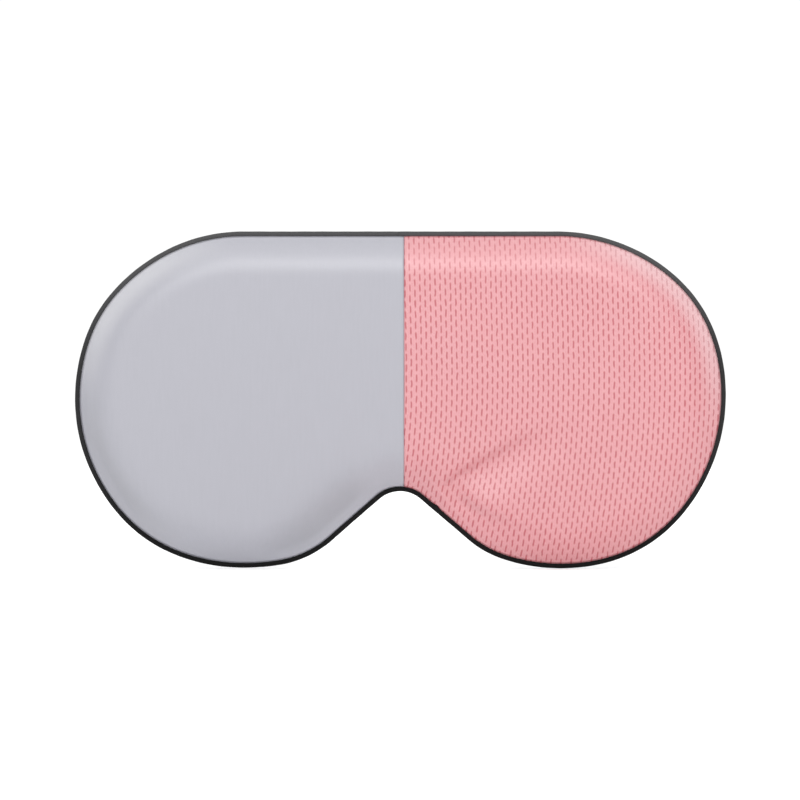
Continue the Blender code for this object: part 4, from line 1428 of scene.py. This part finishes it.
# socket opening: (y above the cover's edge, how much wider)
USB_OPENING = [(-3.0, 0.0), (-0.45, 0.0), (0.05, 0.45), (1.2, 0.6)]
USB_HALF_W, USB_HALF_H, USB_CORNER_R = 4.9, 2.0, 1.95


def rounded_rect(half_a, half_b, radius, corner=9, run=6):
    """Closed loop of a rounded rectangle, with steps per corner and per straight run."""
    arcs = []
    for sign_a, sign_b, turn in ((1, 1, 0), (-1, 1, 90), (-1, -1, 180), (1, -1, 270)):
        angles = [math.radians(turn + 90.0 * i / corner) for i in range(corner + 1)]
        arcs.append([(sign_a * (half_a - radius) + radius * math.cos(angle),
                      sign_b * (half_b - radius) + radius * math.sin(angle))
                     for angle in angles])
    points = []
    for i in range(4):
        points += arcs[i] + between(arcs[i][-1], arcs[(i + 1) % 4][0], run)
    return points


def loft(name, rings):
    """Capped solid through rings of points, in millimetres of the frame."""
    return fix_normals(make(name, np.reshape(rings, (-1, 3)) * MM,
                            capped_faces(len(rings), len(rings[0]), flip_caps=True),
                            POD_PLASTIC))


def turned_cutter(name, profile, cad_name, face_x, segments=64):
    """Lathe along X through the middle of a CAD piece."""
    lo, hi = box_mm(cad_name)
    _, mid_y, mid_z = (lo + hi) / 2
    angles = [TURN * i / segments for i in range(segments)]
    return loft(name, [[(face_x + rise, mid_y + radius * math.cos(angle),
                         mid_z + radius * math.sin(angle)) for angle in angles]
                       for radius, rise in profile])


def usb_cutter(edge_y):
    lo, hi = box_mm("usb_c_socket")
    mid_x, _, mid_z = (lo + hi) / 2
    return loft("cut_usb", [
        [(mid_x + across, edge_y + rise, mid_z + along) for along, across in
         rounded_rect(USB_HALF_W + wider, USB_HALF_H + wider, USB_CORNER_R + wider,
                      corner=8, run=4)]
        for rise, wider in USB_OPENING])


def cover_profile(inner_x, outer_x, half_height):
    """Cover wall as (x, inset), from the middle of the inside face to the outside one."""
    top = outer_x - POD_WALL
    fillet = POD_INNER_FILLET
    profile = [(top, half_height - POD_MIDDLE), (top, half_height * 0.5),
               (top, POD_WALL + 1.6)]
    profile += [(top - fillet + fillet * math.cos(t), POD_WALL + fillet - fillet * math.sin(t))
                for t in np.linspace(0, math.pi / 2, 6)[1:]]
    profile += [(inner_x + 0.2, POD_WALL), (inner_x, POD_WALL + 0.15), (inner_x, 0.3),
                (inner_x + 0.3, 0.0)]
    profile += [(x, 0.0) for x in np.linspace(inner_x + 1.2, outer_x - POD_FILLET - 0.4, 4)]
    profile += [(outer_x - POD_FILLET + POD_FILLET * math.sin(t),
                 POD_FILLET - POD_FILLET * math.cos(t))
                for t in np.linspace(0, math.pi / 2, 12)]
    profile += [(outer_x, inset)
                for inset in (3.2, 4.6, 6.4, 8.6, 11.0, half_height - POD_MIDDLE)]
    return profile


def build_pod_cover():
    """Hollow cover with rounded edges and openings for keys, lens and socket."""
    lo, hi = box_mm("pod_cover")
    _, half_w, half_h = (hi - lo) / 2
    _, mid_y, mid_z = (hi + lo) / 2
    face_x = hi[0]
    rings = []
    for x, inset in cover_profile(lo[0], face_x, half_h):
        radius = max(POD_CORNER_R - inset, min(0.05, half_h - inset))
        rings.append([(x, mid_y + along, mid_z + up) for along, up in
                      rounded_rect(half_w - inset, half_h - inset, radius)])
    cover = loft("pod_shell_cover", rings)
    cutters = [turned_cutter("cut_" + key, BUTTON_RECESS, key, face_x)
               for key in ("power_button", "mode_button")]
    cutters.append(turned_cutter("cut_lens", LENS_HOLE, "status_lens", face_x, segments=40))
    cutters.append(usb_cutter(hi[1]))
    cut_away(cover, cutters)
    with edited(cover.data) as edit:
        for edge in edit.edges:
            edge.smooth = (len(edge.link_faces) == 2
                           and edge.calc_face_angle(0.0) < math.radians(CREASE_DEGREES))
        for face in edit.faces:
            face.smooth = True
    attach(cover, "strap_right")
    register(cover, "pod_shell", "pod_cover")


# ---------------------------------------------------------------- finish CAD nodes
def paint(material, *names):
    for name in names:
        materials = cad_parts[name].data.materials
        materials.clear()
        materials.append(material)


def both(stem):
    return stem + "_right", stem + "_left"


def paint_cad_nodes():
    paint(film_material(), *both("heating_film"))
    paint(STEEL, *both("temperature_sensor"), *both("motor_can"), *both("motor_end_plate"),
          "power_switch", "mode_switch", "usb_c_socket", "pod_screw_1", "pod_screw_2",
          "pod_screw_3", "pod_screw_4")
    paint(WEIGHT, *both("motor_rotor"))
    paint(RUBBER, *both("motor_holder"))
    paint(POD_PLASTIC, "pod_clip", "pod_base", "pod_cover")
    paint(KEY_PLASTIC, "power_button", "mode_button")
    paint(board_material(), "control_board")
    paint(battery_material(), "battery_cell")
    paint(lens_material(), "status_lens")


# ---------------------------------------------------------------- floor, light, camera
FLOOR_HALF = 12.0                            # m
FLOOR_DROP = 0.0004                          # m, keeps the floor clear of the parts
WORLD_LIGHT = 0.765                          # strength of the white surroundings
WORLD_SEEN = 1.05                            # and as the camera sees them
SEAM_Y_M, MID_Z_M = Y_SEAM * MM, Z_MID * MM
# name, place in metres, width, height, power in watts
SOFTBOXES = [
    ("key_softbox", (0.0, SEAM_Y_M - 1.80, MID_Z_M + 1.20), 1.6, 1.30, 18.5),
    ("top_softbox", (0.0, SEAM_Y_M - 0.30, MID_Z_M + 1.80), 2.0, 1.60, 5.8),
    ("back_fill", (0.3, 1.2, 0.8), 1.2, 0.8, 6.0),
]
LENS_MM, SENSOR_MM = 135.0, 36.0
VIEW_WIDTH = 258.48                          # mm seen across the seam plane
VIEW_DROP = 0.16                             # mm, camera below the mask's middle


def build_floor():
    material = floor_material()
    mesh = bpy.data.meshes.new("floor")
    half = FLOOR_HALF
    mesh.from_pydata([(-half, -half, 0), (half, -half, 0), (half, half, 0), (-half, half, 0)],
                     [], [(0, 1, 2, 3)])
    mesh.materials.append(material)
    floor = bpy.data.objects.new("floor", mesh)
    floor.location.z = -FLOOR_DROP
    bpy.context.scene.collection.objects.link(floor)


def build_world():
    """White surroundings, with their own strength for the camera."""
    scene = bpy.context.scene
    # the scene may come without a world, and the world without its usual nodes
    world = scene.world or bpy.data.worlds.new("studio")
    scene.world = world
    world.use_nodes = True
    nodes, links = world.node_tree.nodes, world.node_tree.links
    lighting = nodes.get("Background") or nodes.new("ShaderNodeBackground")
    output = nodes.get("World Output") or nodes.new("ShaderNodeOutputWorld")
    seen = nodes.new("ShaderNodeBackground")
    for background, strength in ((lighting, WORLD_LIGHT), (seen, WORLD_SEEN)):
        background.inputs["Color"].default_value = (*WHITE, 1.0)
        background.inputs["Strength"].default_value = strength
    light_path = nodes.new("ShaderNodeLightPath")
    mixer = nodes.new("ShaderNodeMixShader")
    links.new(light_path.outputs["Is Camera Ray"], mixer.inputs[0])
    links.new(lighting.outputs[0], mixer.inputs[1])
    links.new(seen.outputs[0], mixer.inputs[2])
    links.new(mixer.outputs[0], output.inputs["Surface"])


def build_softbox(name, place, width, height, power):
    """Rectangular light aimed at the middle of the mask."""
    light = bpy.data.lights.new(name, "AREA")
    light.energy = power
    light.shape = "RECTANGLE"
    light.size = width
    light.size_y = height
    softbox = bpy.data.objects.new(name, light)
    softbox.location = place
    aim = Vector((0, SEAM_Y_M, MID_Z_M)) - Vector(place)
    softbox.rotation_euler = aim.to_track_quat("-Z", "Y").to_euler()
    bpy.context.scene.collection.objects.link(softbox)


def build_camera():
    """Long lens looking along +Y at the front of the mask."""
    data = bpy.data.cameras.new("camera")
    data.lens = LENS_MM
    data.sensor_width = SENSOR_MM
    data.clip_end = 50
    camera = bpy.data.objects.new("camera", data)
    distance = VIEW_WIDTH * MM / (SENSOR_MM / LENS_MM)
    camera.location = (0.0, SEAM_Y_M - distance, (Z_MID - VIEW_DROP) * MM)
    camera.rotation_euler = (math.pi / 2, 0, 0)
    bpy.context.scene.collection.objects.link(camera)
    bpy.context.scene.camera = camera


def set_view():
    view = bpy.context.scene.view_settings
    view.view_transform = "Standard"
    view.look = "None"
    view.exposure = 0.0
    view.gamma = 1.0


# ---------------------------------------------------------------- build everything
for side, tag in SIDES.items():
    build_half(side, tag)
build_piping()
for side, tag in SIDES.items():
    build_foam(side, tag, "front")
    build_foam(side, tag, "rear")
build_inner_wiring()
for side, tag in SIDES.items():
    build_strap(side, tag)
for side, tag in SIDES.items():
    build_closure_tape(side, tag)
build_hooks()
build_pod_cable()
build_eyelet()
build_strain_relief()
build_pod_cover()
for side, tag in SIDES.items():
    build_quilting(side, tag)
paint_cad_nodes()

build_floor()
build_world()
for softbox in SOFTBOXES:
    build_softbox(*softbox)
build_camera()
set_view()
